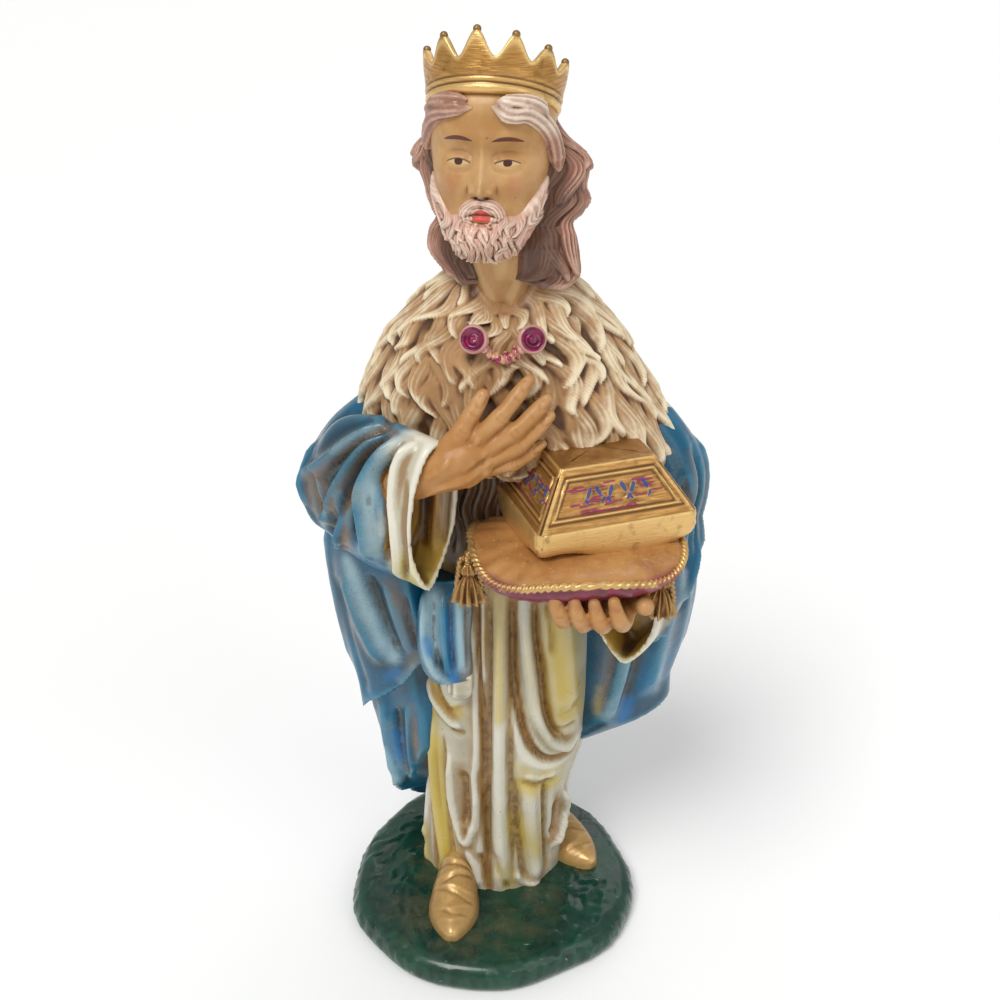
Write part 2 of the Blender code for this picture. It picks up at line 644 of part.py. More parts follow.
def hair():
    around, levels = 110, 50
    rows = smooth_path(HAIR_REACH, levels)
    angle = np.linspace(-HAIR_BEFORE_EARS, math.pi + HAIR_BEFORE_EARS, around)
    near_edge = np.clip(1 - np.minimum(angle - angle[0], angle[-1] - angle) / math.radians(26), 0, 1)
    draw = 1 - 0.42 * (1 - np.sqrt(1 - near_edge**2))
    c, s = np.cos(angle), np.sin(angle)
    across = np.linspace(0.04, 0.96, around)
    rings = []
    for share, (level, left, right, back) in zip(np.linspace(0, 1, levels), rows):
        height = lock_height(across, np.full(around, share), hair_locks())
        puff = HAIR_RELIEF / UNIT * (height - 0.45)
        x = (np.where(c > 0, left, right) * draw + puff) * c
        y = (np.where(s > 0, back, 15.0) * draw + puff) * s
        outer = np.stack([x, y, np.full(around, level)], axis=1)
        inner = outer * (HAIR_INNER_SHARE, HAIR_INNER_SHARE, 1)
        rings.append(np.vstack([outer, inner[::-1]]) + (0, HAIR_MIDDLE, 0))
    mass = loft("hair", np.array(rings))
    fringe = tubes("fringe", [
        [(-2.5, -16.4, 13.5, 1.2), (-8, -15, 12.6, 1.7), (-13, -10.6, 10.8, 2.0), (-16, -4, 6, 2.0)],
        [(2, -16.6, 14.4, 1.5), (6.6, -16.6, 12, 1.9), (11.4, -13.4, 12.2, 2.2), (15.4, -7.6, 8.6, 2.4),
         (17.4, -3.0, 2.0, 2.2)],
    ])
    fringe.data.transform(head_matrix() @ spot_matrix().inverted())
    mass.data.transform(head_matrix())
    return [mass, fringe]


# The crown: a flared band whose upper edge runs in points, set back on the head.
CROWN_SPOT = (0.0, -0.5, 11.9)
CROWN_LEAN = math.radians(-20)
CROWN_TURN = math.radians(-7)


def crown_rise(angle):
    """The height of the crown's wall at an angle, with the front point the tallest."""
    wave = 0.5 + 0.5 * math.cos(CROWN_POINTS * (angle + math.pi / 2))
    in_front = max(0.0, -math.sin(angle)) ** 2
    tall = CROWN_POINT_HEIGHT + (CROWN_FRONT_POINT_HEIGHT - CROWN_POINT_HEIGHT) * in_front
    return CROWN_BAND_HEIGHT + tall * wave


def crown_radius(height):
    return CROWN_BAND_RADIUS + (CROWN_TOP_RADIUS - CROWN_BAND_RADIUS) * height / CROWN_BAND_HEIGHT


def crown():
    around = CROWN_POINTS * 14
    bead = CROWN_BAND_HEIGHT * 0.13
    rings = []
    for k in range(around):
        angle = 2 * math.pi * k / around
        rise = crown_rise(angle)
        heights = (0.0, bead, 2 * bead, 2.6 * bead, 3.3 * bead, 4.0 * bead, 0.7 * rise, rise)
        swells = (0.0, 0.5, 0.0, -0.25, 0.35, 0.0, 0.0, 0.0)
        section = [(crown_radius(h) + swell * bead, h) for h, swell in zip(heights, swells)]
        section += [(crown_radius(h) - CROWN_WALL, h) for h in (rise, 0.5 * rise, 0.0)]
        rings.append([(r * math.cos(angle), r * math.sin(angle), h) for r, h in section])
    count = len(rings[0])
    points = [p for ring in rings for p in ring]
    faces = []
    for k in range(around):
        for j in range(count):
            a, b = k * count + j, k * count + (j + 1) % count
            c, d = ((k + 1) % around) * count + (j + 1) % count, ((k + 1) % around) * count + j
            faces.append((a, b, c, d))
    made = [mesh_object("crown", points, faces)]
    for k in range(CROWN_POINTS):
        angle = 2 * math.pi * k / CROWN_POINTS - math.pi / 2
        rise = crown_rise(angle)
        radius = crown_radius(rise) - CROWN_WALL / 2
        bpy.ops.mesh.primitive_uv_sphere_add(
            segments=12, ring_count=8, radius=CROWN_KNOB_RADIUS,
            location=(radius * math.cos(angle), radius * math.sin(angle), rise))
        knob = bpy.context.object
        knob.data.transform(knob.matrix_world)
        knob.matrix_world = Matrix.Identity(4)
        made.append(knob)
    seat = Matrix.Translation(Vector(CROWN_SPOT)) @ Matrix.Rotation(CROWN_LEAN, 4, "X")
    seat = seat @ Matrix.Rotation(CROWN_TURN, 4, "Z") @ Matrix.Scale(1 / UNIT, 4)
    for obj in made:
        turn_outwards(obj)
        obj.data.transform(head_matrix() @ seat)
    return made


# The clasp: two cupped jewels joined by a drooping row of beads.
def clasp():
    made = []
    ends = ((-4.2, -15.6, 216.0), (11.8, -15.6, 216.0))
    for side, (x, y, z) in zip(("right", "left"), ends):
        radius = JEWEL_RADIUS / UNIT
        made.append(ball(side + "_jewel", (x, y, z), (radius, 1.9, radius)))
    beads = []
    for k in range(7):
        share = (k + 0.5) / 7
        x = ends[0][0] + 2.6 + (ends[1][0] - ends[0][0] - 5.2) * share
        droop = 3.6 * math.sin(math.pi * share)
        beads.append(ball("bead", (x, -15.6, 214.0 - droop), (1.25, 1.25, 1.25)))
    return made + beads


def join_clay(objects):
    """Fuses overlapping solids into one skin of even small faces."""
    for obj in objects:
        for modifier in obj.modifiers:
            modifier.show_render = modifier.show_viewport
    graph = bpy.context.evaluated_depsgraph_get()
    together = bmesh.new()
    for obj in objects:
        evaluated = bpy.data.meshes.new_from_object(obj.evaluated_get(graph))
        evaluated.transform(obj.matrix_world)
        together.from_mesh(evaluated)
        bpy.data.meshes.remove(evaluated)
    mesh = bpy.data.meshes.new(FIGURE)
    together.to_mesh(mesh)
    together.free()
    for obj in objects:
        bpy.data.objects.remove(obj, do_unlink=True)
    clay = bpy.data.objects.new(FIGURE, mesh)
    bpy.context.scene.collection.objects.link(clay)
    remesh = clay.modifiers.new("one_skin", "REMESH")
    remesh.mode = "VOXEL"
    remesh.voxel_size = CLAY_VOXEL
    apply_modifiers(clay)
    return clay


def apply_modifiers(obj):
    graph = bpy.context.evaluated_depsgraph_get()
    mesh = bpy.data.meshes.new_from_object(obj.evaluated_get(graph))
    obj.modifiers.clear()
    obj.data = mesh


# Folds worked into the cloth. Each is a run of points over one face of the figure, in its parts: across and
# up for the front and back, y and up for the sides. After them, its half width, and its rise or its cut.
FRONT_FOLDS = (
    # The robe: a straight pleat down the middle, and cloth hung in curves from the left hip.
    (((-3, 128), (-2.5, 98), (-2.5, 66), (-2, 31), (-1.5, 8)), 1.7, -2.4),
    (((2.5, 130), (2, 92), (2, 50), (2, 8)), 2.4, 2.6),
    (((7, 132), (7.5, 111), (8.5, 94), (13, 72), (19, 67), (27, 66)), 1.8, -2.8),
    (((11, 134), (11.5, 108), (14.5, 86), (22, 73), (28, 75)), 2.0, 2.6),
    (((15.5, 130), (16.5, 96), (20.5, 78), (26, 82)), 1.7, -2.2),
    (((23, 128), (24, 106), (24, 90)), 4.5, 1.6),
    (((-23, 98), (-21, 89), (-14, 84), (-8, 80)), 1.7, 2.4),
    (((-22, 93), (-19, 84), (-12, 79), (-6, 75)), 1.5, -1.8),
    (((-12, 68), (-10, 44), (-7, 34), (-4.5, 44), (-3, 60)), 1.5, 1.8),
    (((-18, 132), (-18.5, 118), (-17.5, 106)), 1.5, 1.6),
    (((-14, 134), (-14.5, 118), (-14, 104)), 1.4, -1.8),
    (((-10, 134), (-10, 118), (-10, 106)), 1.6, 1.8),
    (((-15.5, 74), (-16, 56), (-15, 20)), 2.0, 2.0),
    (((-20, 74), (-20, 44), (-19.5, 12)), 1.7, -2.2),
    (((-24, 66), (-24, 40), (-23, 14)), 1.8, 1.8),
    (((7, 62), (8, 36), (10, 8)), 1.7, -2.0),
    (((12, 60), (13, 36), (14.5, 8)), 2.2, 2.0),
    (((17, 56), (18, 36), (19, 12)), 1.7, -1.6),
    (((24, 44), (23, 28), (21.5, 14)), 1.8, 1.8),
    # The sleeve of the right arm, falling from the bent elbow.
    (((-21, 191), (-30.5, 183), (-34, 175), (-34.5, 167), (-37, 154)), 2.2, 2.6),
    (((-23.5, 190), (-28.5, 184), (-30, 177), (-29, 160), (-30, 146)), 1.8, -2.6),
    (((-19.5, 190), (-21.5, 186), (-23.5, 180), (-24.5, 171), (-25, 156), (-23, 143)), 1.8, 2.0),
    (((-32, 189), (-40, 180), (-44, 171), (-47.5, 163)), 1.7, 2.2),
    (((-27, 191), (-36, 182), (-39, 172)), 1.6, -2.0),
    (((-40, 171), (-43.5, 160), (-44, 148)), 1.8, 2.2),
    (((-39, 168), (-39.5, 158), (-40, 149)), 2.2, -2.6),
    (((-48, 172), (-50, 160), (-49, 150)), 1.8, -1.8),
    # The cloak below that sleeve, and the one below the other arm.
    (((-45, 134), (-43, 110), (-41, 84)), 2.4, 2.2),
    (((-49, 130), (-47, 108), (-44, 82)), 1.8, -1.8),
    (((-38, 134), (-36, 112), (-35, 92)), 1.8, -2.4),
    (((-32, 131), (-30, 110), (-28, 92)), 2.2, 2.2),
    (((-31, 76), (-31, 54), (-29, 34)), 1.8, -1.8),
    (((56, 132), (54, 110), (52, 84)), 2.4, 2.2),
    (((50, 128), (48, 106), (47, 78)), 1.8, -2.2),
    (((44, 112), (42, 96), (41, 80)), 2.0, 1.8),
    (((60, 160), (62, 140), (60, 118)), 2.0, -1.8),
)
BACK_FOLDS = tuple(
    (((top, 172), (top * 1.05 + bow, 120), (low, 22)), 3.0, rise)
    for top, bow, low, rise in (
        (-30, -2, -27, 2.2), (-20, 1, -17, -2.4), (-10, 0, -9, 2.4), (0, 1, -1, -2.4), (10, 2, 7, 2.4),
        (20, 3, 14, -2.2),
        (31, 4, 24, 2.4))
) + (
    (((40, 168), (44, 120), (42, 66)), 3.0, -2.2), (((50, 160), (54, 120), (52, 76)), 3.0, 2.0),
    (((-38, 166), (-42, 130), (-41, 88)), 2.8, -2.0),
)
LEFT_FOLDS = (
    (((2, 170), (6, 132), (10, 92)), 2.6, 2.2), (((10, 172), (14, 132), (18, 86)), 2.2, -2.2),
    (((19, 174), (23, 130), (27, 80)), 2.6, 2.0),
)
RIGHT_FOLDS = (
    (((4, 168), (8, 130), (10, 86)), 2.6, 2.2), (((12, 170), (15, 130), (18, 90)), 2.2, -2.2),
    (((20, 172), (24, 130), (28, 92)), 2.6, 2.0),
)


def cast_line(tree, points, side):
    """Drops a smooth line through the points onto the cloth, looking at one side of the figure."""
    path = []
    for across, z in smooth_path(points, 8 * (len(points) - 1) + 1):
        if side in ("front", "back"):
            start = spot(across, -120 if side == "front" else 120, z)
            toward = Vector((0, 1 if side == "front" else -1, 0))
        else:
            start = spot(150 if side == "left" else -150, across, z)
            toward = Vector((-1 if side == "left" else 1, 0, 0))
        hit = tree.ray_cast(start, toward)[0]
        if hit is not None:
            path.append(hit)
    return np.array(path)


def work_folds(clay):
    count = len(clay.data.vertices)
    co = np.empty(count * 3)
    clay.data.vertices.foreach_get("co", co)
    co = co.reshape(-1, 3)
    normals = np.empty(count * 3)
    clay.data.vertices.foreach_get("normal", normals)
    normals = normals.reshape(-1, 3)
    work = bmesh.new()
    work.from_mesh(clay.data)
    tree = BVHTree.FromBMesh(work)
    work.free()
    shift = np.zeros(count)
    sides = (("front", FRONT_FOLDS), ("back", BACK_FOLDS), ("left", LEFT_FOLDS), ("right", RIGHT_FOLDS))
    for side, folds in sides:
        for points, half, rise in folds:
            path = cast_line(tree, points, side)
            reach = 2.5 * half * UNIT
            inside = (co > path.min(axis=0) - reach) & (co < path.max(axis=0) + reach)
            near = np.flatnonzero(inside.all(axis=1))
            gap = np.full(len(near), 1e9)
            share = np.zeros(len(near))
            for k, (a, b) in enumerate(zip(path, path[1:])):
                along = b - a
                t = np.clip((co[near] - a) @ along / max(along @ along, 1e-12), 0, 1)
                away = np.linalg.norm(co[near] - a - t[:, None] * along, axis=1)
                closer = away < gap
                gap[closer] = away[closer]
                share[closer] = (k + t[closer]) / (len(path) - 1)
            fade = np.clip(np.minimum(share, 1 - share) / 0.15, 0.2, 1)
            shift[near] += rise * UNIT * fade * np.exp(-((gap / (half * UNIT)) ** 2))
    co += normals * shift[:, None]
    clay.data.vertices.foreach_set("co", co.ravel())
    clay.data.update()


# Where the cast keeps its detail: the lowest and highest point of each zone, and its share of the triangles.
ZONES = (
    ((-40, -40, 234), (45, 40, 310), 0.27),
    ((-25, -55, 172), (22, -16, 212), 0.07),
    ((-12, -60, 128), (62, -1, 188), 0.13),
    ((-60, -40, 170), (75, 60, 234), 0.24),
    ((-80, -80, -20), (90, 80, 400), 0.29),
)


def thin_by_zone(clay):
    """Takes faces away zone by zone, so that the head and hands keep more of them than the plain cloth."""
    points = np.empty(len(clay.data.vertices) * 3)
    clay.data.vertices.foreach_get("co", points)
    points = points.reshape(-1, 3)
    owner = np.full(len(points), -1)
    for number, (low, high, _) in enumerate(ZONES):
        inside = ((points > spots(low)) & (points < spots(high))).all(axis=1)
        owner[(owner < 0) & inside] = number
    for number in range(len(ZONES)):
        group = clay.vertex_groups.new(name="zone_%d" % number)
        group.add(np.flatnonzero(owner == number).tolist(), 1.0, "REPLACE")
    for number, (_, _, share) in enumerate(ZONES):
        layer = [any(g.group == number and g.weight > 0.5 for g in v.groups) for v in clay.data.vertices]
        total, own = 0, 0
        for face in clay.data.polygons:
            many = len(face.vertices) - 2
            total += many
            own += many if all(layer[v] for v in face.vertices) else 0
        thin = clay.modifiers.new("fewer_faces", "DECIMATE")
        thin.vertex_group = "zone_%d" % number
        thin.ratio = 1 - max(0, own - share * TRIANGLES) / total
        apply_modifiers(clay)
    # The seams between the zones keep their small faces until this last pass.
    total = sum(len(face.vertices) - 2 for face in clay.data.polygons)
    thin = clay.modifiers.new("fewer_faces", "DECIMATE")
    thin.ratio = min(1.0, TRIANGLES / total)
    apply_modifiers(clay)


def finish(clay):
    smooth = clay.modifiers.new("rubbed", "SMOOTH")
    smooth.factor = 0.5
    smooth.iterations = 1
    apply_modifiers(clay)
    thin_by_zone(clay)
    clay.vertex_groups.clear()
    work = bmesh.new()
    work.from_mesh(clay.data)
    cut = bmesh.ops.bisect_plane(work, geom=work.verts[:] + work.edges[:] + work.faces[:], plane_co=(0, 0, 0),
                                 plane_no=(0, 0, -1), clear_outer=True)
    rim = [g for g in cut["geom_cut"] if isinstance(g, bmesh.types.BMEdge)]
    bmesh.ops.holes_fill(work, edges=rim, sides=0)
    keep_the_largest_body(work)
    bmesh.ops.triangulate(work, faces=work.faces[:])
    work.to_mesh(clay.data)
    work.free()
    clay.data.shade_smooth()
    clay.data.set_sharp_from_angle(angle=math.radians(50))


def keep_the_largest_body(work):
    """Drops the closed bubbles that fusing leaves inside the cloth."""
    bodies, seen = [], set()
    for start in work.verts:
        if start in seen:
            continue
        body, waiting = [], [start]
        seen.add(start)
        while waiting:
            vert = waiting.pop()
            body.append(vert)
            for edge in vert.link_edges:
                other = edge.other_vert(vert)
                if other not in seen:
                    seen.add(other)
                    waiting.append(other)
        bodies.append(body)
    bodies.sort(key=len)
    bmesh.ops.delete(work, geom=[vert for body in bodies[:-1] for vert in body], context="VERTS")


def paint():
    lacquer = bpy.data.materials.new("painted_plaster")
    lacquer.use_nodes = True
    shader = lacquer.node_tree.nodes["Principled BSDF"]
    shader.inputs["Base Color"].default_value = (0.55, 0.46, 0.30, 1)
    shader.inputs["Roughness"].default_value = 0.4
    return lacquer


def build():
    clear_scene()
    clay = base() + legs() + robe() + scarf_end() + cloak() + sleeves() + hands()
    clay += cushion() + casket() + cape()
    clay += head() + hair() + crown() + clasp()
    figure = join_clay(clay)
    work_folds(figure)
    finish(figure)
    figure.data.materials.append(paint())
    group = bpy.data.collections.new("nativity_wise_man")
    bpy.context.scene.collection.children.link(group)
    for owner in list(figure.users_collection):
        owner.objects.unlink(figure)
    group.objects.link(figure)


build()
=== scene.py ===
"""A nativity king in painted plaster: the finish of every part of the cast, and a plain studio round it."""

import math
import random

import bmesh
import bpy
import numpy as np
from mathutils import Matrix, Vector
from mathutils.bvhtree import BVHTree
from mathutils.kdtree import KDTree


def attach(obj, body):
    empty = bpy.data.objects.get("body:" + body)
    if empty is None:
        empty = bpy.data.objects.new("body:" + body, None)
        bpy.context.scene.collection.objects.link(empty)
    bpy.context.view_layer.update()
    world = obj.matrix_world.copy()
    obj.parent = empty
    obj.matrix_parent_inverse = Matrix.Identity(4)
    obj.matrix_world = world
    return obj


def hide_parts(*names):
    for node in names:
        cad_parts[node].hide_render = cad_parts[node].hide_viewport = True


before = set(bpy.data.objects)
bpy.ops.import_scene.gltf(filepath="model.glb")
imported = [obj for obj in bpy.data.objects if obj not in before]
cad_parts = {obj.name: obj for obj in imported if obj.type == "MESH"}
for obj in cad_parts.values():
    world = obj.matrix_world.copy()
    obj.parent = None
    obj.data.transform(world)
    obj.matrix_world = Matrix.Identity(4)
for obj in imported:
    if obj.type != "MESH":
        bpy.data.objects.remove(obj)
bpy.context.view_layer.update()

# The studio: a pale floor that runs on in white, a soft sun with two weaker ones, and the camera held a little
# above the crown and tipped down, as the photograph was taken.
CAMERA_SPOT = (0.003, -0.368, 0.354)
CAMERA_TIP = math.radians(61.9)
CAMERA_LENS = 49.2
FLOOR_SIZE = 12.0
SKY_STRENGTH = 0.50

camera = bpy.data.objects.new("camera", bpy.data.cameras.new("camera"))
camera.data.lens = CAMERA_LENS
camera.data.clip_start = 0.01
camera.location = CAMERA_SPOT
camera.rotation_euler = (CAMERA_TIP, 0, 0)
bpy.context.scene.collection.objects.link(camera)
bpy.context.scene.camera = camera

bpy.ops.object.select_all(action="DESELECT")
bpy.ops.mesh.primitive_plane_add(size=FLOOR_SIZE)
floor = bpy.context.object
floor.name = "floor"
pale = bpy.data.materials.new("pale_floor")
pale.use_nodes = True
pale_shader = pale.node_tree.nodes["Principled BSDF"]
pale_shader.inputs["Base Color"].default_value = (0.93, 0.93, 0.92, 1)
pale_shader.inputs["Roughness"].default_value = 0.6
floor.data.materials.append(pale)

sky = bpy.data.worlds.new("studio")
bpy.context.scene.world = sky
sky.use_nodes = True
sky.node_tree.nodes["Background"].inputs["Color"].default_value = (1.0, 1.0, 1.0, 1)
sky.node_tree.nodes["Background"].inputs["Strength"].default_value = SKY_STRENGTH

for lamp_name, spot_at, power, spread in (
    ("key_light", (-0.38, -0.62, 1.05), 1.85, 28),
    ("fill_light", (0.80, -0.70, 0.60), 0.45, 40),
    ("back_light", (0.30, 0.90, 0.90), 0.35, 40),
):
    lamp = bpy.data.objects.new(lamp_name, bpy.data.lights.new(lamp_name, "SUN"))
    lamp.data.energy = power
    lamp.data.angle = math.radians(spread)
    lamp.location = spot_at
    lamp.rotation_euler = (-lamp.location).to_track_quat("-Z", "Y").to_euler()
    bpy.context.scene.collection.objects.link(lamp)
bpy.context.scene.view_settings.view_transform = "Standard"


# The base: a low round mound of earth under short grass, cast in one with the shoes. It is painted dark
# green under a thick gloss, rubbed pale along the tops of the blades and the rim. The grooves are darkened
# as painted shade and the crests lightened as painted highlight.
BASE_WIDTH = 0.098
BASE_THICKNESS = 0.010
FIGURE_HEIGHT = 0.290
GROUND = 10.0
UNIT = FIGURE_HEIGHT / 290.0
NODE = "wise_man_figure"


def spot(x, y, z):
    """A point of the figure, from its 290 parts to metres."""
    return Vector((x * UNIT, y * UNIT, BASE_THICKNESS + (z - GROUND) * UNIT))


def spots(points):
    return np.asarray(points, float) * UNIT + np.array([0.0, 0.0, BASE_THICKNESS - GROUND * UNIT])


def smooth_path(points, count):
    """A smooth curve through the given rows of numbers, read at count even steps."""
    rows = np.asarray(points, float)
    padded = np.vstack([2 * rows[0] - rows[1], rows, 2 * rows[-1] - rows[-2]])
    at = np.linspace(0, len(rows) - 1, count)
    first = np.minimum(at.astype(int), len(rows) - 2)
    t = (at - first)[:, None]
    a, b, c, d = (padded[first + k] for k in range(4))
    return 0.5 * (2 * b + (c - a) * t + (2 * a - 5 * b + 4 * c - d) * t**2
                  + (3 * b - a - 3 * c + d) * t**3)


def oval_ring(cx, cy, z, rx, ry, around=72, squareness=2.0):
    angle = np.linspace(0, 2 * math.pi, around, endpoint=False)
    c, s = np.cos(angle), np.sin(angle)
    power = 2.0 / squareness
    x = cx + rx * np.sign(c) * np.abs(c) ** power
    y = cy + ry * np.sign(s) * np.abs(s) ** power
    return np.stack([x, y, np.full(around, float(z))], axis=1)


def mesh_piece(name, points, faces):
    mesh = bpy.data.meshes.new(name)
    mesh.from_pydata([tuple(p) for p in points], [], faces)
    piece = bpy.data.objects.new(name, mesh)
    bpy.context.scene.collection.objects.link(piece)
    return piece


def turn_outwards(piece):
    work = bmesh.new()
    work.from_mesh(piece.data)
    bmesh.ops.remove_doubles(work, verts=work.verts, dist=1e-7)
    bmesh.ops.recalc_face_normals(work, faces=work.faces)
    if work.calc_volume(signed=True) < 0:
        bmesh.ops.reverse_faces(work, faces=work.faces)
    work.to_mesh(piece.data)
    work.free()


def loft(name, rings):
    """A closed form through rings of equally many points, capped at both ends."""
    rings = np.asarray(rings, float)
    levels, around = rings.shape[:2]
    points = rings.reshape(-1, 3).tolist()
    faces = []
    for level in range(levels - 1):
        for k in range(around):
            a = level * around + k
            b = level * around + (k + 1) % around
            faces.append((a, b, b + around, a + around))
    for level in (0, levels - 1):
        points.append(rings[level].mean(axis=0).tolist())
        for k in range(around):
            a = level * around + k
            b = level * around + (k + 1) % around
            faces.append((b, a, len(points) - 1) if level == 0 else (a, b, len(points) - 1))
    piece = mesh_piece(name, points, faces)
    turn_outwards(piece)
    return piece


def joined(name, parts):
    """Joins the parts to the first of them, under one name."""
    bpy.ops.object.select_all(action="DESELECT")
    for part in parts:
        part.select_set(True)
    bpy.context.view_layer.objects.active = parts[0]
    if len(parts) > 1:
        bpy.ops.object.join()
    piece = bpy.context.object
    piece.name = name
    return piece


def one_skin(name, parts, grain, rub=2):
    """Joins overlapping forms and fuses them into one skin whose faces are about grain wide."""
    piece = joined(name, parts)
    fuse = piece.modifiers.new("fuse", "REMESH")
    fuse.mode = "VOXEL"
    fuse.voxel_size = grain
    bpy.ops.object.modifier_apply(modifier="fuse")
    if rub:
        soften = piece.modifiers.new("rub", "SMOOTH")
        soften.iterations = rub
        bpy.ops.object.modifier_apply(modifier="rub")
    piece.data.shade_smooth()
    return piece


def read_points(piece, what="co"):
    values = np.empty(len(piece.data.vertices) * 3)
    piece.data.vertices.foreach_get(what, values)
    return values.reshape(-1, 3)


def write_points(piece, points):
    piece.data.vertices.foreach_set("co", np.ascontiguousarray(points).ravel())
    piece.data.update()


def rubbed(points, edges, times):
    """The points after each has been drawn to its neighbours a number of times."""
    count = len(points)
    a, b = edges.T
    degree = np.bincount(edges.ravel(), minlength=count).astype(float)
    for _ in range(times):
        total = np.stack([np.bincount(a, points[b, axis], count) + np.bincount(b, points[a, axis], count)
                          for axis in range(3)], axis=1)
        points = 0.5 * points + 0.5 * total / np.maximum(degree, 1)[:, None]
    return points


def note(piece, name, values):
    """Keeps a number for every point of a piece, for its paint to read."""
    layer = piece.data.attributes.get(name) or piece.data.attributes.new(name, "FLOAT", "POINT")
    layer.data.foreach_set("value", np.ascontiguousarray(values, np.float32))


# The paints read these notes to lay painted shade on the deep points, often with a brown wash, and painted
# highlight on the proud ones.
def note_relief(piece, fine=0.00012, broad=0.0006, times=26):
    """Notes how deep each point lies in the carving and how proud it stands, from 0 to 1."""
    edges = np.empty(len(piece.data.edges) * 2, np.int64)
    piece.data.edges.foreach_get("vertices", edges)
    edges = edges.reshape(-1, 2)
    points, normals = read_points(piece), read_points(piece, "normal")
    near = rubbed(points, edges, 4)
    far = rubbed(near, edges, times)
    small = ((near - points) * normals).sum(axis=1) / fine
    large = ((far - points) * normals).sum(axis=1) / broad
    hollow = rubbed(np.stack([np.clip(small, -1, 1), large, large], axis=1), edges, 1)
    note(piece, "deep", np.clip(0.45 * hollow[:, 0] + 0.75 * hollow[:, 1], 0, 1))
    note(piece, "proud", np.clip(-0.35 * hollow[:, 0] - 0.75 * hollow[:, 1], 0, 1))


def surface_of(piece):
    work = bmesh.new()
    work.from_mesh(piece.data)
    tree = BVHTree.FromBMesh(work)
    work.free()
    return tree


def beside_line(points, tree, side, line, reach):
    """The points near a line dropped on a surface from one side of the figure: which they are, how far off
    they lie, how far along it, and the way that the line was dropped."""
    path = []
    for across, z in smooth_path(line, 7 * (len(line) - 1) + 1):
        if side in ("front", "back"):
            start = spot(across, -120 if side == "front" else 120, z)
            toward = Vector((0, 1 if side == "front" else -1, 0))
        elif side == "top":
            start = spot(across, z, 400)
            toward = Vector((0, 0, -1))
        else:
            start = spot(150 if side == "left" else -150, across, z)
            toward = Vector((-1 if side == "left" else 1, 0, 0))
        hit = tree.ray_cast(start, toward)[0]
        if hit is not None:
            path.append(hit)
    if len(path) < 2:
        return np.zeros(0, int), np.zeros(0), np.zeros(0), np.array(toward)
    path = np.array(path)
    inside = (points > path.min(axis=0) - reach) & (points < path.max(axis=0) + reach)
    near = np.flatnonzero(inside.all(axis=1))
    gap = np.full(len(near), 1e9)
    share = np.zeros(len(near))
    for k, (a, b) in enumerate(zip(path, path[1:])):
        along = b - a
        t = np.clip((points[near] - a) @ along / max(along @ along, 1e-12), 0, 1)
        away = np.linalg.norm(points[near] - a - t[:, None] * along, axis=1)
        closer = away < gap
        gap[closer] = away[closer]
        share[closer] = (k + t[closer]) / (len(path) - 1)
    return near, gap, share, np.array(toward)


def carve(piece, lines):
    """Raises or cuts lines in a surface. Each line is the side it is seen from, its points across and up
    in the figure's parts, its half width, and how far it rises or, below 0, cuts in."""
    points, normals = read_points(piece), read_points(piece, "normal")
    tree = surface_of(piece)
    shift = np.zeros(len(points))
    for side, line, half, rise in lines:
        near, gap, share, _ = beside_line(points, tree, side, line, 2.4 * half * UNIT)
        fade = np.clip(np.minimum(share, 1 - share) / 0.15, 0.1, 1)
        shift[near] += rise * UNIT * fade * np.exp(-((gap / (half * UNIT)) ** 2))
    write_points(piece, points + normals * shift[:, None])


class Paint:
    """One socket of a material's nodes: sums on it add Math nodes, and node() adds any other kind."""

    def __init__(self, tree, socket=None):
        self.tree = tree
        self.socket = socket

    def node(self, kind, settings=None, inputs=None, output=0):
        made = self.tree.nodes.new("ShaderNode" + kind)
        for name, value in (settings or {}).items():
            setattr(made, name, value)
        for name, value in (inputs or {}).items():
            if isinstance(value, Paint):
                self.tree.links.new(value.socket, made.inputs[name])
            else:
                made.inputs[name].default_value = value
        return Paint(self.tree, made.outputs[output])

    def math(self, operation, *values, clamp=False):
        return self.node("Math", {"operation": operation, "use_clamp": clamp}, dict(enumerate(values)))

    def __add__(self, other):
        return self.math("ADD", self, other)

    def __sub__(self, other):
        return self.math("SUBTRACT", self, other)

    def __rsub__(self, other):
        return self.math("SUBTRACT", other, self)

    def __mul__(self, other):
        return self.math("MULTIPLY", self, other)

    __radd__ = __add__
    __rmul__ = __mul__

    def clear(self):
        return self.math("ADD", self, 0.0, clamp=True)

    def between(self, low, high, start=0.0, end=1.0):
        """Eases from start to end as this value goes from low to high."""
        return self.node("MapRange", {"interpolation_type": "SMOOTHSTEP"},
                         {"Value": self, "From Min": low, "From Max": high, "To Min": start, "To Max": end})

    def over(self, under, colour):
        """Lays a colour over another, as thick as this value."""
        mix = {"data_type": "RGBA", "clamp_factor": True}
        return self.node("Mix", mix, {0: self, 6: under, 7: colour}, output=2)

    def cloud(self, size, detail=2.0, stretch=(1, 1, 1)):
        """Soft noise whose blots are about size metres across."""
        where = self.node("Mapping", None, {"Vector": self.node("TexCoord", output=3), "Scale": stretch})
        return self.node("TexNoise", None, {"Vector": where, "Scale": 1.0 / size,
                                            "Detail": detail, "Roughness": 0.55})

    def blotted(self, one, other, size, detail=3.0, low=0.3, high=0.7):
        """One colour with the other in soft blots on it."""
        return self.cloud(size, detail).between(low, high).over(one, other)

    def noted(self, name):
        return self.node("Attribute", {"attribute_name": name}, output=2)

    def washed(self, under, *washes):
        """Lays washes over a colour: a noted name for each, where it starts and is full, a weight and a colour."""
        for name, low, high, weight, colour in washes:
            under = (self.noted(name).between(low, high) * weight).over(under, colour)
        return under


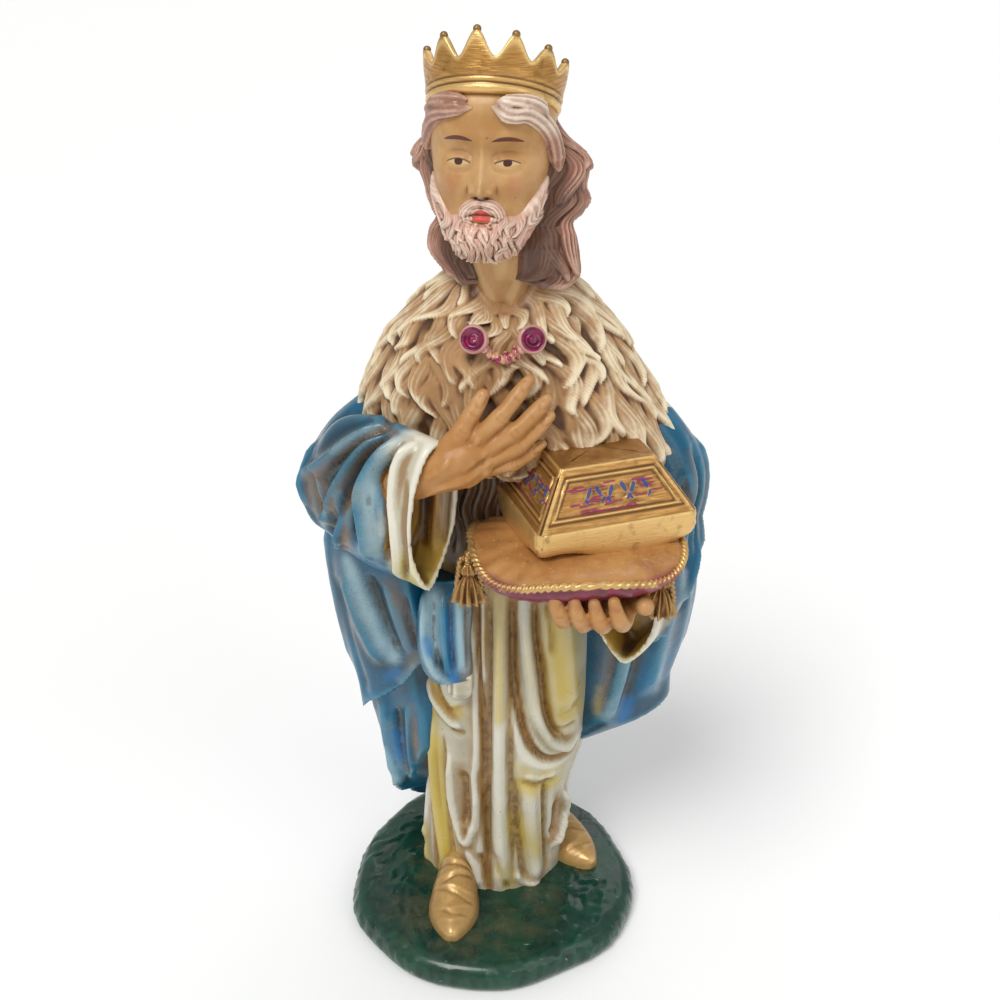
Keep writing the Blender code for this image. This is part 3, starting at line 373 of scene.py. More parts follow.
def paint_surface(name, colour, roughness, grain, metallic=None, gloss=0.25, tilt=0.2, shine=0.32):
    """A material whose colour, roughness and fine relief each come from a function, under a lacquer."""
    material = bpy.data.materials.new(name)
    material.use_nodes = True
    tree = material.node_tree
    shader = tree.nodes["Principled BSDF"]
    paint = Paint(tree)
    tree.links.new(colour(paint).socket, shader.inputs["Base Color"])
    tree.links.new(roughness(paint).socket, shader.inputs["Roughness"])
    bump = paint.node("Bump", None, {"Height": grain(paint), "Strength": tilt, "Distance": 0.0004})
    tree.links.new(bump.socket, shader.inputs["Normal"])
    if metallic is not None:
        tree.links.new(metallic(paint).socket, shader.inputs["Metallic"])
    shader.inputs["Specular IOR Level"].default_value = shine
    shader.inputs["Coat Weight"].default_value = gloss
    shader.inputs["Coat Roughness"].default_value = 0.12
    return material


def hand_over(piece, material):
    """The last step for every piece of the cast: its paint, its place on the root and what it stands for."""
    piece.data.materials.clear()
    piece.data.materials.append(material)
    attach(piece, "root")
    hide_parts(NODE)


def lacquer_grain(paint):
    return paint.cloud(0.0011, 3.0) * 0.6 + paint.cloud(0.00035, 1.0) * 0.25


def mottled(size, low, high, detail=2.0, stretch=(1, 1, 1)):
    """A roughness, or a share of metal, that goes softly from low to high over a surface."""
    return lambda paint: paint.cloud(size, detail, stretch).between(0.3, 0.7, low, high)


BLADES_OF_GRASS = 520
BLADES_ON_RIM = 110
MOUND_REACH = 48
base_around = 120
base_angle = np.linspace(0, 2 * math.pi, base_around, endpoint=False)
base_lobes = (1 + 0.020 * np.cos(3 * base_angle + 0.6) + 0.012 * np.cos(5 * base_angle + 2.0)
              + 0.008 * np.cos(9 * base_angle))
base_profile = ((0.955, 0.0), (1.0, 0.16), (1.0, 0.45), (0.975, 0.75), (0.93, 0.92), (0.84, 1.0), (0.5, 1.06))
base_rings = []
for reach, rise in smooth_path(base_profile, 25):
    base_rings.append(np.stack([BASE_WIDTH / 2 * reach * base_lobes * np.cos(base_angle),
                                BASE_WIDTH / 2 * reach * base_lobes * np.sin(base_angle),
                                np.full(base_around, rise * BASE_THICKNESS)], axis=1))
base = one_skin("grass_base", [loft("mound", base_rings)], 0.00088)

grass_dice = random.Random(3)
blades = []
for _ in range(BLADES_OF_GRASS):
    turn = grass_dice.uniform(0, 2 * math.pi)
    reach = MOUND_REACH * math.sqrt(grass_dice.uniform(0.05, 0.97))
    lean = turn + 1.0 + grass_dice.uniform(-0.5, 0.5)
    length = grass_dice.uniform(4.5, 9.0)
    x, y = reach * math.cos(turn), reach * math.sin(turn)
    bend = grass_dice.uniform(-0.9, 0.9)
    tip = (x + length * math.cos(lean + bend), y + length * math.sin(lean + bend))
    middle = (x + 0.5 * length * math.cos(lean), y + 0.5 * length * math.sin(lean))
    if math.hypot(*tip) < MOUND_REACH - 2:
        blades.append(("top", ((x, y), middle, tip), grass_dice.uniform(0.6, 0.9),
                       grass_dice.choice((0.22, 0.3, -0.3))))
carve(base, blades)
sides_of_base = []
for k in range(BLADES_ON_RIM):
    turn = 2 * math.pi * (k + grass_dice.uniform(-0.4, 0.4)) / BLADES_ON_RIM
    if abs(math.sin(turn)) > 0.72:
        side = "back" if math.sin(turn) > 0 else "front"
    else:
        side = "left" if math.cos(turn) > 0 else "right"
    at = MOUND_REACH * (math.cos(turn) if side in ("front", "back") else math.sin(turn))
    low = grass_dice.uniform(1.5, 4.0)
    sides_of_base.append((side, ((at, low), (at + grass_dice.uniform(-1.5, 1.5), low + 2.5),
                                 (at + grass_dice.uniform(-2.5, 2.5), low + 4.5)),
                          grass_dice.uniform(0.8, 1.3), grass_dice.choice((0.25, 0.35, -0.3))))
carve(base, sides_of_base)
base_points = read_points(base)
base_points[:, 2] = np.maximum(base_points[:, 2], 0.0)
write_points(base, base_points)
note_relief(base)
round_feet = np.hypot(base_points[:, 0] + 0.006, base_points[:, 1] + 0.012)
note(base, "haze", np.exp(-(((round_feet - 0.022) / 0.010) ** 2)))


def green_paint(paint):
    green = paint.blotted((0.002, 0.026, 0.017, 1), (0.004, 0.044, 0.024, 1), 0.012, low=0.35, high=0.65)
    # Painted shade in the grooves, in near black green, and painted highlight on the crests, in a lighter green.
    green = (paint.noted("deep") * 0.8).over(green, (0.002, 0.014, 0.010, 1))
    green = paint.washed(green, ("proud", 0.25, 0.9, 0.22, (0.03, 0.14, 0.09, 1)))
    haze = (paint.noted("haze") * paint.cloud(0.008, 3.0).between(0.35, 0.65)).clear()
    green = (haze * 0.5).over(green, (0.09, 0.08, 0.035, 1))
    scratch = paint.cloud(0.0045, 2.0, (1, 5, 1)).between(0.68, 0.76)
    scratch = scratch * paint.noted("proud").between(0.15, 0.5)
    return (scratch * 0.7).over(green, (0.30, 0.32, 0.24, 1))


green_gloss = paint_surface("green_gloss", green_paint, mottled(0.006, 0.20, 0.38), lacquer_grain, gloss=0.3)
hand_over(base, green_gloss)


# The shoes: soft and pointed, modelled in one with the mound. Creases are cut over the instep, and the
# plaster is painted in bronze gold, darker in them from wear and painted shade, with painted highlight
# on the crests.
SHOE_LENGTH = 0.034
SHOE_WIDTH = 0.017
# Share of the length, share of the half width, and height, from heel to toe.
SHOE_STATIONS = (
    (0.0, 0.62, 12.0), (0.22, 0.80, 14.5), (0.45, 0.98, 12.0), (0.66, 1.0, 8.5), (0.84, 0.72, 6.0),
    (0.96, 0.36, 4.4), (1.0, 0.16, 3.4),
)
# Share of the length, rise or cut, and slant of each crease.
SHOE_CREASES = (
    (0.28, 0.4, 1.3), (0.34, -0.5, 0.6), (0.41, 0.4, -0.9), (0.47, -0.45, -1.4), (0.55, 0.35, 0.7),
    (0.62, -0.4, 1.5), (0.74, 0.2, -0.8), (0.80, -0.3, 0.6), (0.85, 0.2, -0.5),
)


def shoe(name, heel, heading):
    length, half = SHOE_LENGTH / UNIT, SHOE_WIDTH / 2 / UNIT
    turn = math.radians(heading)
    forward = np.array([math.sin(turn), -math.cos(turn)])
    aside = np.array([math.cos(turn), math.sin(turn)])
    rings = []
    for share, width, height in smooth_path(SHOE_STATIONS, 24):
        centre = np.array(heel[:2]) + forward * length * share
        ring = []
        for angle in np.linspace(0, 2 * math.pi, 28, endpoint=False):
            lift = math.sin(angle)
            side = centre + aside * half * width * math.cos(angle)
            ring.append((*side, GROUND + (height * lift if lift > 0 else 2.5 * lift)))
        rings.append(ring)
    piece = one_skin(name, [loft(name, spots(rings))], 0.0006)
    creases = []
    for share, rise, slant in SHOE_CREASES:
        middle = np.array(heel) + forward * length * share
        line = []
        for k in (-0.9, -0.5, 0, 0.5, 0.9):
            wave = 0.06 * slant * k - 0.05 * k * k + 0.012 * math.sin(5 * k + 9 * share)
            line.append(tuple(middle + aside * half * k + forward * length * wave))
        creases.append(("top", line, 0.6, 0.62 * rise))
    carve(piece, creases)
    note_relief(piece)
    return piece


def bronze_paint(paint):
    bronze = paint.blotted((0.32, 0.17, 0.05, 1), (0.46, 0.27, 0.085, 1), 0.004)
    # Painted highlight on the crests; the creases darkened by wear and painted shade.
    bronze = paint.noted("proud").over(bronze, (0.60, 0.39, 0.15, 1))
    return (paint.noted("deep") * 1.3).over(bronze, (0.07, 0.035, 0.012, 1))


bronze = paint_surface("bronze_shoes", bronze_paint, mottled(0.003, 0.28, 0.45), lacquer_grain,
                       mottled(0.004, 0.20, 0.42))
for shoe_name, heel, heading in (("right_shoe", (-12, -2), -2), ("left_shoe", (16, 26), 36)):
    hand_over(shoe(shoe_name, heel, heading), bronze)


# The robe: one long garment in soft folds, a ribbed strip of grooves down its middle and cloth caught up in
# curves at the left hip. It is painted pearl, then misted with yellow and washed brown in the folds, with
# painted shade in the folds and on the chest by the right cuff, and painted highlight on the crests.
ROBE_PROFILE = (
    (1.0, 12, 8, 25.5, 25), (1.0, 12, 12, 25, 25), (1.0, 11.5, 24, 24, 24), (2.5, 11, 44, 24, 24),
    (5.5, 10.5, 74, 28, 25), (6, 10, 100, 29, 24.5), (6, 9, 130, 29, 23), (6, 8, 158, 29, 21),
    (6, 8, 182, 31, 19),
)
ROBE_FOLDS = (
    # The strip of ribs.
    (((-6.5, 134), (-5.5, 115), (-4.8, 101), (-4.5, 87), (-4.5, 71), (-5.5, 58), (-4, 44)), 1.1, 1.3),
    (((-4, 134), (-4, 114), (-3, 95), (-3, 80)), 0.8, -1.5),
    (((-2, 134), (-2, 114), (-1.7, 96)), 0.7, 1.3),
    (((-0.4, 134), (-0.2, 103), (-0.4, 74), (-0.8, 38), (0, 14)), 1.0, -2.6),
    (((-2.6, 96), (-2.4, 74), (-2.6, 55), (-2, 34), (-1, 14)), 1.5, -1.8),
    (((3, 136), (2.8, 104), (2.6, 74), (2.6, 44), (3.6, 21), (4.4, 9)), 2.2, 3.0),
    (((6, 136), (6.2, 102), (6.2, 72), (7, 40), (8, 20)), 1.3, -1.2),
    # Cloth caught up at the left hip.
    (((6.8, 136), (7, 116), (7.6, 101), (9.4, 86.5), (12.2, 75.5), (16.5, 67.8), (21.5, 64.4), (29, 64)),
     1.5, -3.0),
    (((10.2, 136), (10.6, 118), (12, 104), (14.2, 89), (18, 78), (23.5, 70), (30, 70)), 1.7, 2.8),
    (((13.5, 134), (14.6, 116), (16.4, 101.5), (18.2, 86), (20.5, 77.5), (24, 73)), 1.5, -2.8),
    (((21.5, 130), (23.5, 104), (25, 84)), 5.0, 2.4),
    (((21, 78.5), (24.5, 77.6), (28.5, 78)), 0.7, -0.7),
    (((17, 130), (18.5, 118), (19, 108)), 1.2, -1.0),
    # The lip of cloth over the right knee.
    (((-19.6, 95), (-19.6, 90), (-18.4, 85.4), (-15, 81.8), (-12, 80), (-9.5, 81)), 1.5, 1.6),
    (((-17.4, 95), (-16.8, 90), (-15, 86.8), (-12.4, 84.4)), 1.3, -1.2),
    (((-13.5, 78), (-11, 76.5), (-8, 78)), 0.8, -1.0),
    (((-15, 97), (-13, 91), (-10.5, 87)), 4.0, 1.0),
    # The hollow between the shins, and the long folds beside it.
    (((-13.6, 68), (-13.2, 48), (-11, 35.5), (-8.5, 28)), 1.3, 2.0),
    (((-4.6, 56), (-5, 44.5), (-6.6, 36), (-8.5, 28)), 1.3, 2.0),
    (((-9.5, 62), (-9.2, 47), (-8.4, 37)), 2.2, -2.4),
    (((-8.5, 28), (-6, 20), (-4, 12)), 1.4, 1.2),
    (((-8, 22), (-9, 15), (-10, 10)), 1.8, -1.0),
    (((-19, 80), (-19, 52), (-17.4, 31.5), (-16, 20), (-15, 12)), 1.5, 2.2),
    (((-21.6, 78), (-21.4, 50), (-20.4, 28), (-19.4, 10)), 1.2, -1.5),
    (((-23.6, 70), (-23.6, 42), (-23, 22), (-22.6, 9)), 1.4, 1.2),
    (((-16, 74), (-15.8, 53), (-14.6, 32.5), (-13, 20)), 1.2, -1.4),
    # The skirt over the left leg, with a turned edge at its side.
    (((8, 62), (9, 40), (10.5, 24), (12, 9)), 1.6, -1.6),
    (((12.5, 60), (13, 40), (14.5, 24), (16, 9)), 2.4, 1.8),
    (((18, 60), (18.5, 40), (19, 26), (19.5, 12)), 1.4, -1.8),
    (((10, 59), (15.5, 55.5), (22, 55)), 1.1, -1.0), (((11, 62), (16.5, 59), (22, 58)), 1.2, 1.0),
    (((24.5, 44), (24.3, 33), (23, 26), (20.5, 20)), 1.2, 3.0),
    (((22.2, 42), (22, 33), (21, 26)), 1.3, -2.6),
    (((1, 29), (3, 19), (6, 10)), 1.1, -1.8), (((-4.5, 27), (-2, 18), (-0.5, 9)), 1.1, -1.4),
    (((8, 18), (12, 12), (17, 9)), 1.4, 1.4),
)
YELLOW_MIST = (
    (((3, 134), (2.8, 104), (2.8, 88)), 2.4, 0.9), (((21, 124), (22.5, 104), (24.5, 84)), 6.0, 1.0),
    (((-19, 97), (-16.5, 89), (-12, 85.5)), 2.6, 1.0),
    (((-20.5, 78), (-20, 52), (-18, 28), (-16, 12)), 4.4, 1.1),
    (((-14, 24), (-11, 16)), 3.0, 0.7), (((-24.5, 50), (-24, 28), (-23, 9)), 1.5, 0.9),
    (((10.5, 57), (16, 53.5), (22, 52.5)), 3.0, 1.0), (((8, 40), (12, 32), (16, 26)), 4.6, 0.85),
    (((4, 22), (6, 14)), 3.0, 0.8), (((11, 120), (12.5, 104), (14.5, 92)), 1.3, 0.5),
    (((-3, 126), (-2.6, 108)), 2.2, 0.55), (((9, 66), (15, 60.5), (24, 59)), 1.8, 0.5),
)
# How strong the painted shade on the chest is: where the brown note passes 1, a darker brown is laid.
CHEST_SHADE = 2.2
BROWN_WASH_AND_SHADE = (
    (((-3.4, 134), (-3.4, 101), (-3.2, 74), (-3.2, 44), (-2, 20), (0, 10)), 2.6, 0.85),
    (((7.4, 130), (8, 101), (9.8, 86.5), (12.6, 75.5), (16.8, 67.6), (22, 64.4), (28, 64)), 1.7, 1.0),
    (((14, 134), (15, 116), (16.8, 101.5), (18.6, 86), (21, 77.5)), 2.0, 0.75),
    (((-21, 97), (-19.6, 91), (-17, 86.6), (-13.6, 83.8)), 1.3, 0.75),
    (((-9.4, 62), (-9.2, 47), (-8.4, 34)), 2.4, 0.7), (((-8, 26), (-4, 16), (-2, 10)), 3.6, 0.7),
    (((-21.8, 60), (-21.4, 40), (-20.4, 20), (-19, 9)), 1.2, 1.0),
    (((22, 44), (22, 33), (21, 24)), 2.4, 0.9), (((19, 14), (15, 10)), 3.0, 0.6),
    # The chest between the fur and the right cuff, which lies in shadow, is darkened as painted shade.
    (((-16, 176), (-10, 158), (-6, 144)), 8.0, CHEST_SHADE), (((0, 176), (2, 158), (2, 146)), 8.0, CHEST_SHADE),
)
MIST_SPREAD = 1.5


def spray(piece, name, dabs):
    """Mists a colour on a piece along lines seen from one side, soft at the edges, as an airbrush does."""
    points, normals = read_points(piece), read_points(piece, "normal")
    tree = surface_of(piece)
    mist = np.zeros(len(points))
    for side, line, half, strength in dabs:
        half *= MIST_SPREAD
        near, gap, _, toward = beside_line(points, tree, side, line, 2.2 * half * UNIT)
        facing = np.clip(0.35 - normals[near] @ toward, 0, 0.5) / 0.5
        mist[near] = np.maximum(mist[near], strength * facing * np.exp(-((gap / (half * UNIT)) ** 2)))
    note(piece, name, mist)


def seen_from(side, lines, deepen=1.0):
    return [(side, *line[:-1], line[-1] * deepen) for line in lines]


def front(*lines):
    return seen_from("front", lines)


robe_rings = [oval_ring(*row, around=110) for row in smooth_path(ROBE_PROFILE, 70)]
robe = one_skin("robe", [loft("robe_form", spots(robe_rings))], 0.00094)
carve(robe, seen_from("front", ROBE_FOLDS, 1.2))
chest_pleats = []
for x, rise in zip(np.arange(-17, 8, 1.7), (1.1, -1.1) * 8):
    chest_pleats.append((((x, 178), (x + 1.2, 169), (x - 1.0, 160), (x + 0.8, 151), (x, 144)), 0.9, rise))
carve(robe, front(*chest_pleats))
back_folds = []
for k in range(9):
    at = -26 + 6.5 * k
    back_folds.append((((at, 60), (at * 0.95, 34), (at * 0.9, 9)), 2.2, 2.0 if k % 2 else -2.0))
carve(robe, seen_from("back", back_folds))
carve(robe,
      [("left", ((18, 76), (16, 40), (15, 10)), 1.8, -1.8),
       ("left", ((24, 76), (23, 40), (21, 10)), 2.0, 1.6),
             ("left", ((8, 70), (8, 40), (6, 12)), 1.8, 1.4)])
carve(robe,
      [("right", ((18, 60), (16, 36), (15, 10)), 1.8, -1.8),
       ("right", ((8, 60), (8, 36), (6, 10)), 2.0, 1.6)])
note_relief(robe)
spray(robe, "yellow", front(*YELLOW_MIST))
# The brown note holds the brown wash along the folds and, above 1, the painted shade of the chest.
spray(robe, "brown", front(*BROWN_WASH_AND_SHADE))


def tint(red, green, blue):
    """A colour as a painter would mix it, from 0 to 255, as light."""
    parts = [c / 255 for c in (red, green, blue)]
    return (*[c / 12.92 if c <= 0.04045 else ((c + 0.055) / 1.055) ** 2.4 for c in parts], 1)


PEARL = tint(190, 184, 162)
SILVER = tint(160, 152, 130)
SUN_YELLOW = tint(188, 162, 46)
FOLD_TAN = tint(154, 122, 62)
FOLD_BROWN = tint(146, 102, 42)
# A brown for dirt and pin holes, and for the painted shade in the bottoms of the folds.
DIRT_AND_SHADE_BROWN = tint(80, 50, 28)


def speckled(paint, name, size=0.0007):
    """A misted colour whose edge breaks up into blots and fine dots."""
    dots, blots = paint.cloud(size) - 0.5, paint.cloud(0.009) - 0.5
    return (paint.noted(name) + dots * 0.35 + blots * 0.5).between(0.0, 1.15)


def misted(paint, under, *mists):
    """Sprays noted mists over a colour. Each is its noted name, its weight and its colour."""
    for name, weight, colour in mists:
        under = (speckled(paint, name) * weight).over(under, colour)
    return under


def grime_and_shade(paint, under, weight, colour):
    """Lays dirt and painted shade in blots along the bottom of the folds."""
    grime = paint.noted("deep").between(0.45, 1.0) * paint.cloud(0.003, 3.0).between(0.35, 0.65)
    return (grime * weight).over(under, colour)


def pitted(paint, under, size, low, weight, colour):
    """Dots a colour with pin holes and small chips."""
    return (paint.cloud(size, 1.0).between(low, 0.80) * weight).over(under, colour)


def pearl_paint(paint):
    cloth = misted(paint, paint.blotted(PEARL, SILVER, 0.014, 2.0), ("yellow", 0.9, SUN_YELLOW))
    # Tan in the folds: a wash, with painted shade.
    cloth = paint.washed(cloth, ("deep", 0.02, 0.7, 0.75, FOLD_TAN))
    cloth = misted(paint, cloth, ("brown", 0.8, FOLD_BROWN))
    streak = paint.cloud(0.0016, 3.0, (1, 1, 0.12)).between(0.55, 0.75) * paint.noted("brown").clear()
    cloth = (streak * 0.35).over(cloth, tint(100, 64, 22))
    # Painted highlight: the crests are lightened almost to white, less where the yellow mist lies.
    crest_highlight_weight = 0.6 - 0.45 * paint.noted("yellow")
    cloth = (paint.noted("proud").between(0.2, 0.9) * crest_highlight_weight).over(cloth, tint(224, 222, 208))
    # Dirt and painted shade in the bottoms of the folds.
    cloth = grime_and_shade(paint, cloth, 0.55, DIRT_AND_SHADE_BROWN)
    # Painted shade on the chest, where the brown note passes 1.
    cloth = ((paint.noted("brown") - 1.0).between(0.0, 0.6) * 0.85).over(cloth, tint(66, 42, 24))
    return pitted(paint, cloth, 0.0013, 0.76, 0.6, DIRT_AND_SHADE_BROWN)


satin_roughness = mottled(0.005, 0.27, 0.42)
pearl_lacquer = paint_surface("pearl_lacquer", pearl_paint, satin_roughness, lacquer_grain, gloss=0.3)
hand_over(robe, pearl_lacquer)


# The cloak: heavy cloth hung from the shoulders and open in front, shorter at the left. It is blue with
# silver misted on the crests, tan along its edges and grey brown where it turns in, that grey brown partly
# painted shade; a lighter blue on the crests is painted highlight.
CLOAK_RIBS = (
    ((-30, -6, 165), 3, (-22, -3, 64)), ((-38, -2, 168), 5, (-30, 6, 44)), ((-43, 6, 170), 6, (-35, 16, 31)),
    ((-38, 20, 180), 5, (-33, 29, 20)), ((-24, 29, 190), 4, (-20, 38, 8)), ((6, 33, 194), 4, (0, 41.5, 8)),
    ((34, 29, 190), 4, (21, 37, 8)), ((50, 20, 182), 6, (34, 35, 40)), ((56, 8, 168), 7, (50, 29, 68)),
    ((57, -3, 160), 6, (61, 12, 79)), ((50, -9, 150), 4, (47, 1, 72)), ((42, -10, 140), 2, (36, -4, 77)),
)
PANEL_RIBS = (
    ((-28, -14, 150), 0, (-21, -12, 106)), ((-38, -8, 152), 1, (-30, -8, 93)),
    ((-46, -2, 152), 2, (-40, 1, 80)),
    ((-51, 6, 154), 2, (-45, 9, 75)), ((-48, 18, 168), 3, (-43, 25, 84)), ((-36, 28, 184), 3, (-33, 34, 100)),
    ((-20, 31, 188), 1, (-16, 36, 120)),
)
CLOAK_AXIS = (5.0, 10.0)


def draped_wall(name, ribs, axis, columns, levels, folds, fold_depth, inner_share=0.45):
    """A hanging cloth: an outer face through the ribs, and an inner face that sinks into the body."""
    heights = np.linspace(0, 1, levels)
    paths = []
    for top, bow, hem in ribs:
        top, hem = np.array(top, float), np.array(hem, float)
        out = (top + hem)[:2] / 2 - np.array(axis)
        out /= np.linalg.norm(out)
        path = top + (hem - top) * heights[:, None]
        path[:, :2] += out * (bow * np.sin(math.pi * np.minimum(heights * 1.15, 1.0)))[:, None]
        paths.append(path)
    paths = np.array(paths)
    grid = np.stack([smooth_path(paths[:, level], columns) for level in range(levels)])
    along = np.linspace(0, 1, columns)
    rings = []
    for level, share in enumerate(heights):
        outer = grid[level].copy()
        out = outer[:, :2] - np.array(axis)
        out /= np.linalg.norm(out, axis=1)[:, None]
        wave = np.cos(2 * math.pi * folds * along + 0.6 * np.sin(7 * along))
        outer[:, :2] += out * (fold_depth * share**0.8 * wave * np.sin(math.pi * along) ** 0.5)[:, None]
        inner = outer.copy()
        inner[:, :2] = np.array(axis) + (outer[:, :2] - np.array(axis)) * inner_share
        rings.append(np.vstack([outer, inner[::-1]]))
    return loft(name, spots(rings))


cloak = one_skin("cloak", [draped_wall("cloak_wall", CLOAK_RIBS, CLOAK_AXIS, 160, 60, 7.0, 2.6)], 0.00121)
panel = one_skin("cloak_fall", [draped_wall("panel_wall", PANEL_RIBS, CLOAK_AXIS, 110, 40, 3.0, 1.8, 0.6)],
                 0.00098)
CLOAK_FOLDS = (
    (((-31, 80), (-31, 58), (-29, 36)), 1.6, -2.0), (((-27, 84), (-27.5, 64), (-27, 50)), 1.5, 1.8),
    (((-36, 84), (-36, 62), (-34, 40)), 1.8, 1.8), (((57, 134), (55, 110), (51, 82)), 3.2, 2.4),
    (((50, 130), (48, 106), (44, 78)), 2.8, -2.4), (((45, 122), (43, 98), (39, 77)), 2.4, 1.8),
    (((40.5, 118), (38.5, 96), (36, 80)), 1.6, -1.4), (((60, 160), (62, 140), (60, 118)), 2.4, -1.8),
)
PANEL_FOLDS = (
    (((-45, 134), (-41, 118), (-34, 100)), 3.4, 2.6), (((-49.5, 130), (-46, 106), (-41, 82)), 2.8, -1.6),
    (((-38, 136), (-34, 120), (-29, 104)), 2.2, -2.6), (((-32, 136), (-28.5, 121), (-24.5, 108)), 2.0, 1.8),
    (((-27, 132), (-24.6, 120), (-22, 110)), 1.4, -1.4),
)
cloak_back = []
for k, (top, bow, low) in enumerate(((-34, -2, -31), (-27, -1, -24), (-20, 1, -17), (-10, 0, -9), (0, 1, -1),
                                     (10, 2, 7), (20, 3, 14), (31, 4, 24), (40, 5, 33), (49, 4, 46))):
    rise = (2.4, -2.6)[k % 2]
    cloak_back.append((((top, 176), (top * 1.05 + bow, 120), (low, 20)), 2.6, rise))
    cloak_back.append((((top + 4, 110), (top * 1.05 + bow + 3, 70), (low + 3, 24)), 1.3,
                       -0.8 * np.sign(rise)))
cloak_sides = seen_from("left", (
    (((2, 170), (6, 132), (10, 92)), 2.4, 2.4), (((10, 172), (14, 132), (18, 86)), 2.0, -2.4),
    (((19, 174), (23, 130), (27, 80)), 2.4, 2.2), (((26, 150), (28, 110), (30, 70)), 1.6, -1.6)))
panel_side = seen_from("right", (
    (((4, 150), (8, 120), (10, 86)), 2.4, 2.0), (((12, 160), (15, 126), (18, 92)), 2.0, -2.2),
    (((20, 168), (24, 130), (28, 96)), 2.4, 2.0)))
carve(cloak, seen_from("front", CLOAK_FOLDS, 0.9) + seen_from("back", cloak_back) + cloak_sides)
carve(panel, seen_from("front", PANEL_FOLDS, 1.05) + seen_from("back", cloak_back[:8]) + panel_side)
for cloth in (cloak, panel):
    note_relief(cloth, 0.00012, 0.0008, 14)
spray(panel, "silver", front((((-44, 138), (-39.5, 124), (-35, 112), (-31, 105)), 2.4, 0.85),
                             (((-29, 96), (-25, 103)), 1.6, 0.4)))
spray(panel, "tan",
      front((((-31, 134), (-27, 118), (-22, 108)), 3.0, 0.7), (((-24, 104), (-20, 112)), 2.4, 0.8),
                          (((-51.5, 110), (-48.5, 92), (-45.5, 76)), 1.3, 0.9)))
spray(panel, "bright", front((((-33, 96), (-30, 99)), 2.0, 0.6)))
back_crests = [(line, 2.2, 0.4) for line, half, rise in cloak_back if rise > 2]
back_hollows = [(line, 1.8, 0.25) for line, half, rise in cloak_back if rise < -2]
spray(cloak, "silver", seen_from("back", back_crests) + front(
    (((-35, 70), (-33, 56), (-30, 45)), 2.0, 0.5), (((46.5, 122), (43.5, 98), (39, 79)), 2.4, 0.55),
    (((58, 126), (56, 104), (55, 84)), 1.6, 0.5), (((-37, 56), (-33, 40)), 1.8, 0.7)))
spray(cloak, "tan", seen_from("back", back_hollows) + front(
    (((38.5, 112), (37.5, 96), (36, 84)), 1.8, 0.6), (((62, 150), (61.5, 130), (59, 106)), 1.3, 0.4),
    (((-26, 82), (-25.5, 66), (-24, 56)), 1.8, 0.55), (((-38.5, 60), (-36, 40), (-34, 32)), 1.2, 0.9)))
spray(cloak, "bright", front((((-31.5, 64), (-31, 54)), 2.4, 1.0), (((45, 82), (44, 76)), 2.4, 1.0),
                             (((51, 96), (49.5, 84)), 1.8, 0.5)))
spray(cloak, "yellow", front((((35.4, 90), (35, 80)), 1.3, 0.8)))

CLOAK_BLUE = tint(0, 98, 134)
DEEP_BLUE = tint(0, 54, 74)
CLEAR_BLUE = tint(0, 112, 176)
CLOAK_SILVER = tint(156, 184, 192)
EDGE_TAN = tint(134, 106, 76)


def blue_paint(paint):
    # Grey brown in the folds: painted shade with a wash.
    cloth = paint.washed(paint.blotted(CLOAK_BLUE, DEEP_BLUE, 0.03, 2.0),
                         ("deep", 0.08, 0.75, 0.7, tint(58, 66, 60)))
    cloth = misted(paint, cloth, ("tan", 0.8, EDGE_TAN))
    # Painted highlight in lighter blue on the crests.
    cloth = paint.washed(cloth, ("proud", 0.1, 0.9, 0.4, tint(60, 142, 170)))
    cloth = misted(paint, cloth, ("silver", 0.85, CLOAK_SILVER), ("bright", 0.7, CLEAR_BLUE),
                   ("yellow", 0.7, tint(150, 134, 60)))
    # Dirt and painted shade in the bottoms of the folds.
    cloth = grime_and_shade(paint, cloth, 0.65, tint(52, 38, 26))
    return pitted(paint, cloth, 0.0015, 0.76, 0.5, tint(40, 36, 32))


blue_lacquer = paint_surface("blue_lacquer", blue_paint, satin_roughness, lacquer_grain, gloss=0.35)
for cloth in (cloak, panel):
    hand_over(cloth, blue_lacquer)


# The end of a scarf that hangs over the robe below the right cuff, modelled in one with it. It is grey blue,
# with a square pale tip.
SCARF_PROFILE = ((-12, -8, 137, 7, 6), (-13.5, -11, 128, 8.5, 7), (-14.5, -13, 116, 8.5, 6.5),
                 (-13.5, -14, 107, 8, 6), (-12, -14, 102, 6.5, 5))
TIP_PROFILE = ((-9.5, -14, 105, 4.0, 5.0), (-9.5, -14.5, 100, 4.2, 5.4), (-9.5, -14.5, 97, 3.6, 4.6))


def note_even(piece, names, value=0.0):
    """Gives all of a piece the same number under each name."""
    for name in names:
        note(piece, name, np.full(len(piece.data.vertices), value))


scarf_rings = [oval_ring(*row, around=60, squareness=3) for row in smooth_path(SCARF_PROFILE, 40)]
scarf = one_skin("scarf_end", [loft("scarf_form", spots(scarf_rings))], 0.0006)
carve(scarf, front(
    (((-20, 132), (-20.5, 119), (-18, 110), (-13.5, 103)), 1.1, 1.2),
    (((-17.5, 134), (-17, 118), (-15.5, 108)), 1.2, -1.8),
    (((-14.4, 134), (-14.2, 118), (-13, 106)), 1.2, 1.8), (((-12, 134), (-12, 118), (-11, 106)), 0.9, -1.2),
    (((-9.5, 134), (-9.2, 118), (-8.6, 108)), 1.4, 1.4), (((-7, 132), (-7, 118), (-7, 108)), 1.0, -1.2)))
note_relief(scarf)
spray(scarf, "silver", front((((-21, 130), (-21, 118), (-18, 108), (-13, 102)), 1.6, 1.0),
                             (((-17, 132), (-17, 116)), 2.6, 1.0), (((-9, 131), (-8, 110)), 2.2, 1.0)))
spray(scarf, "tan", front((((-6, 132), (-6.5, 106)), 2.4, 1.0), (((-19, 127), (-18.6, 118)), 1.2, 0.5)))
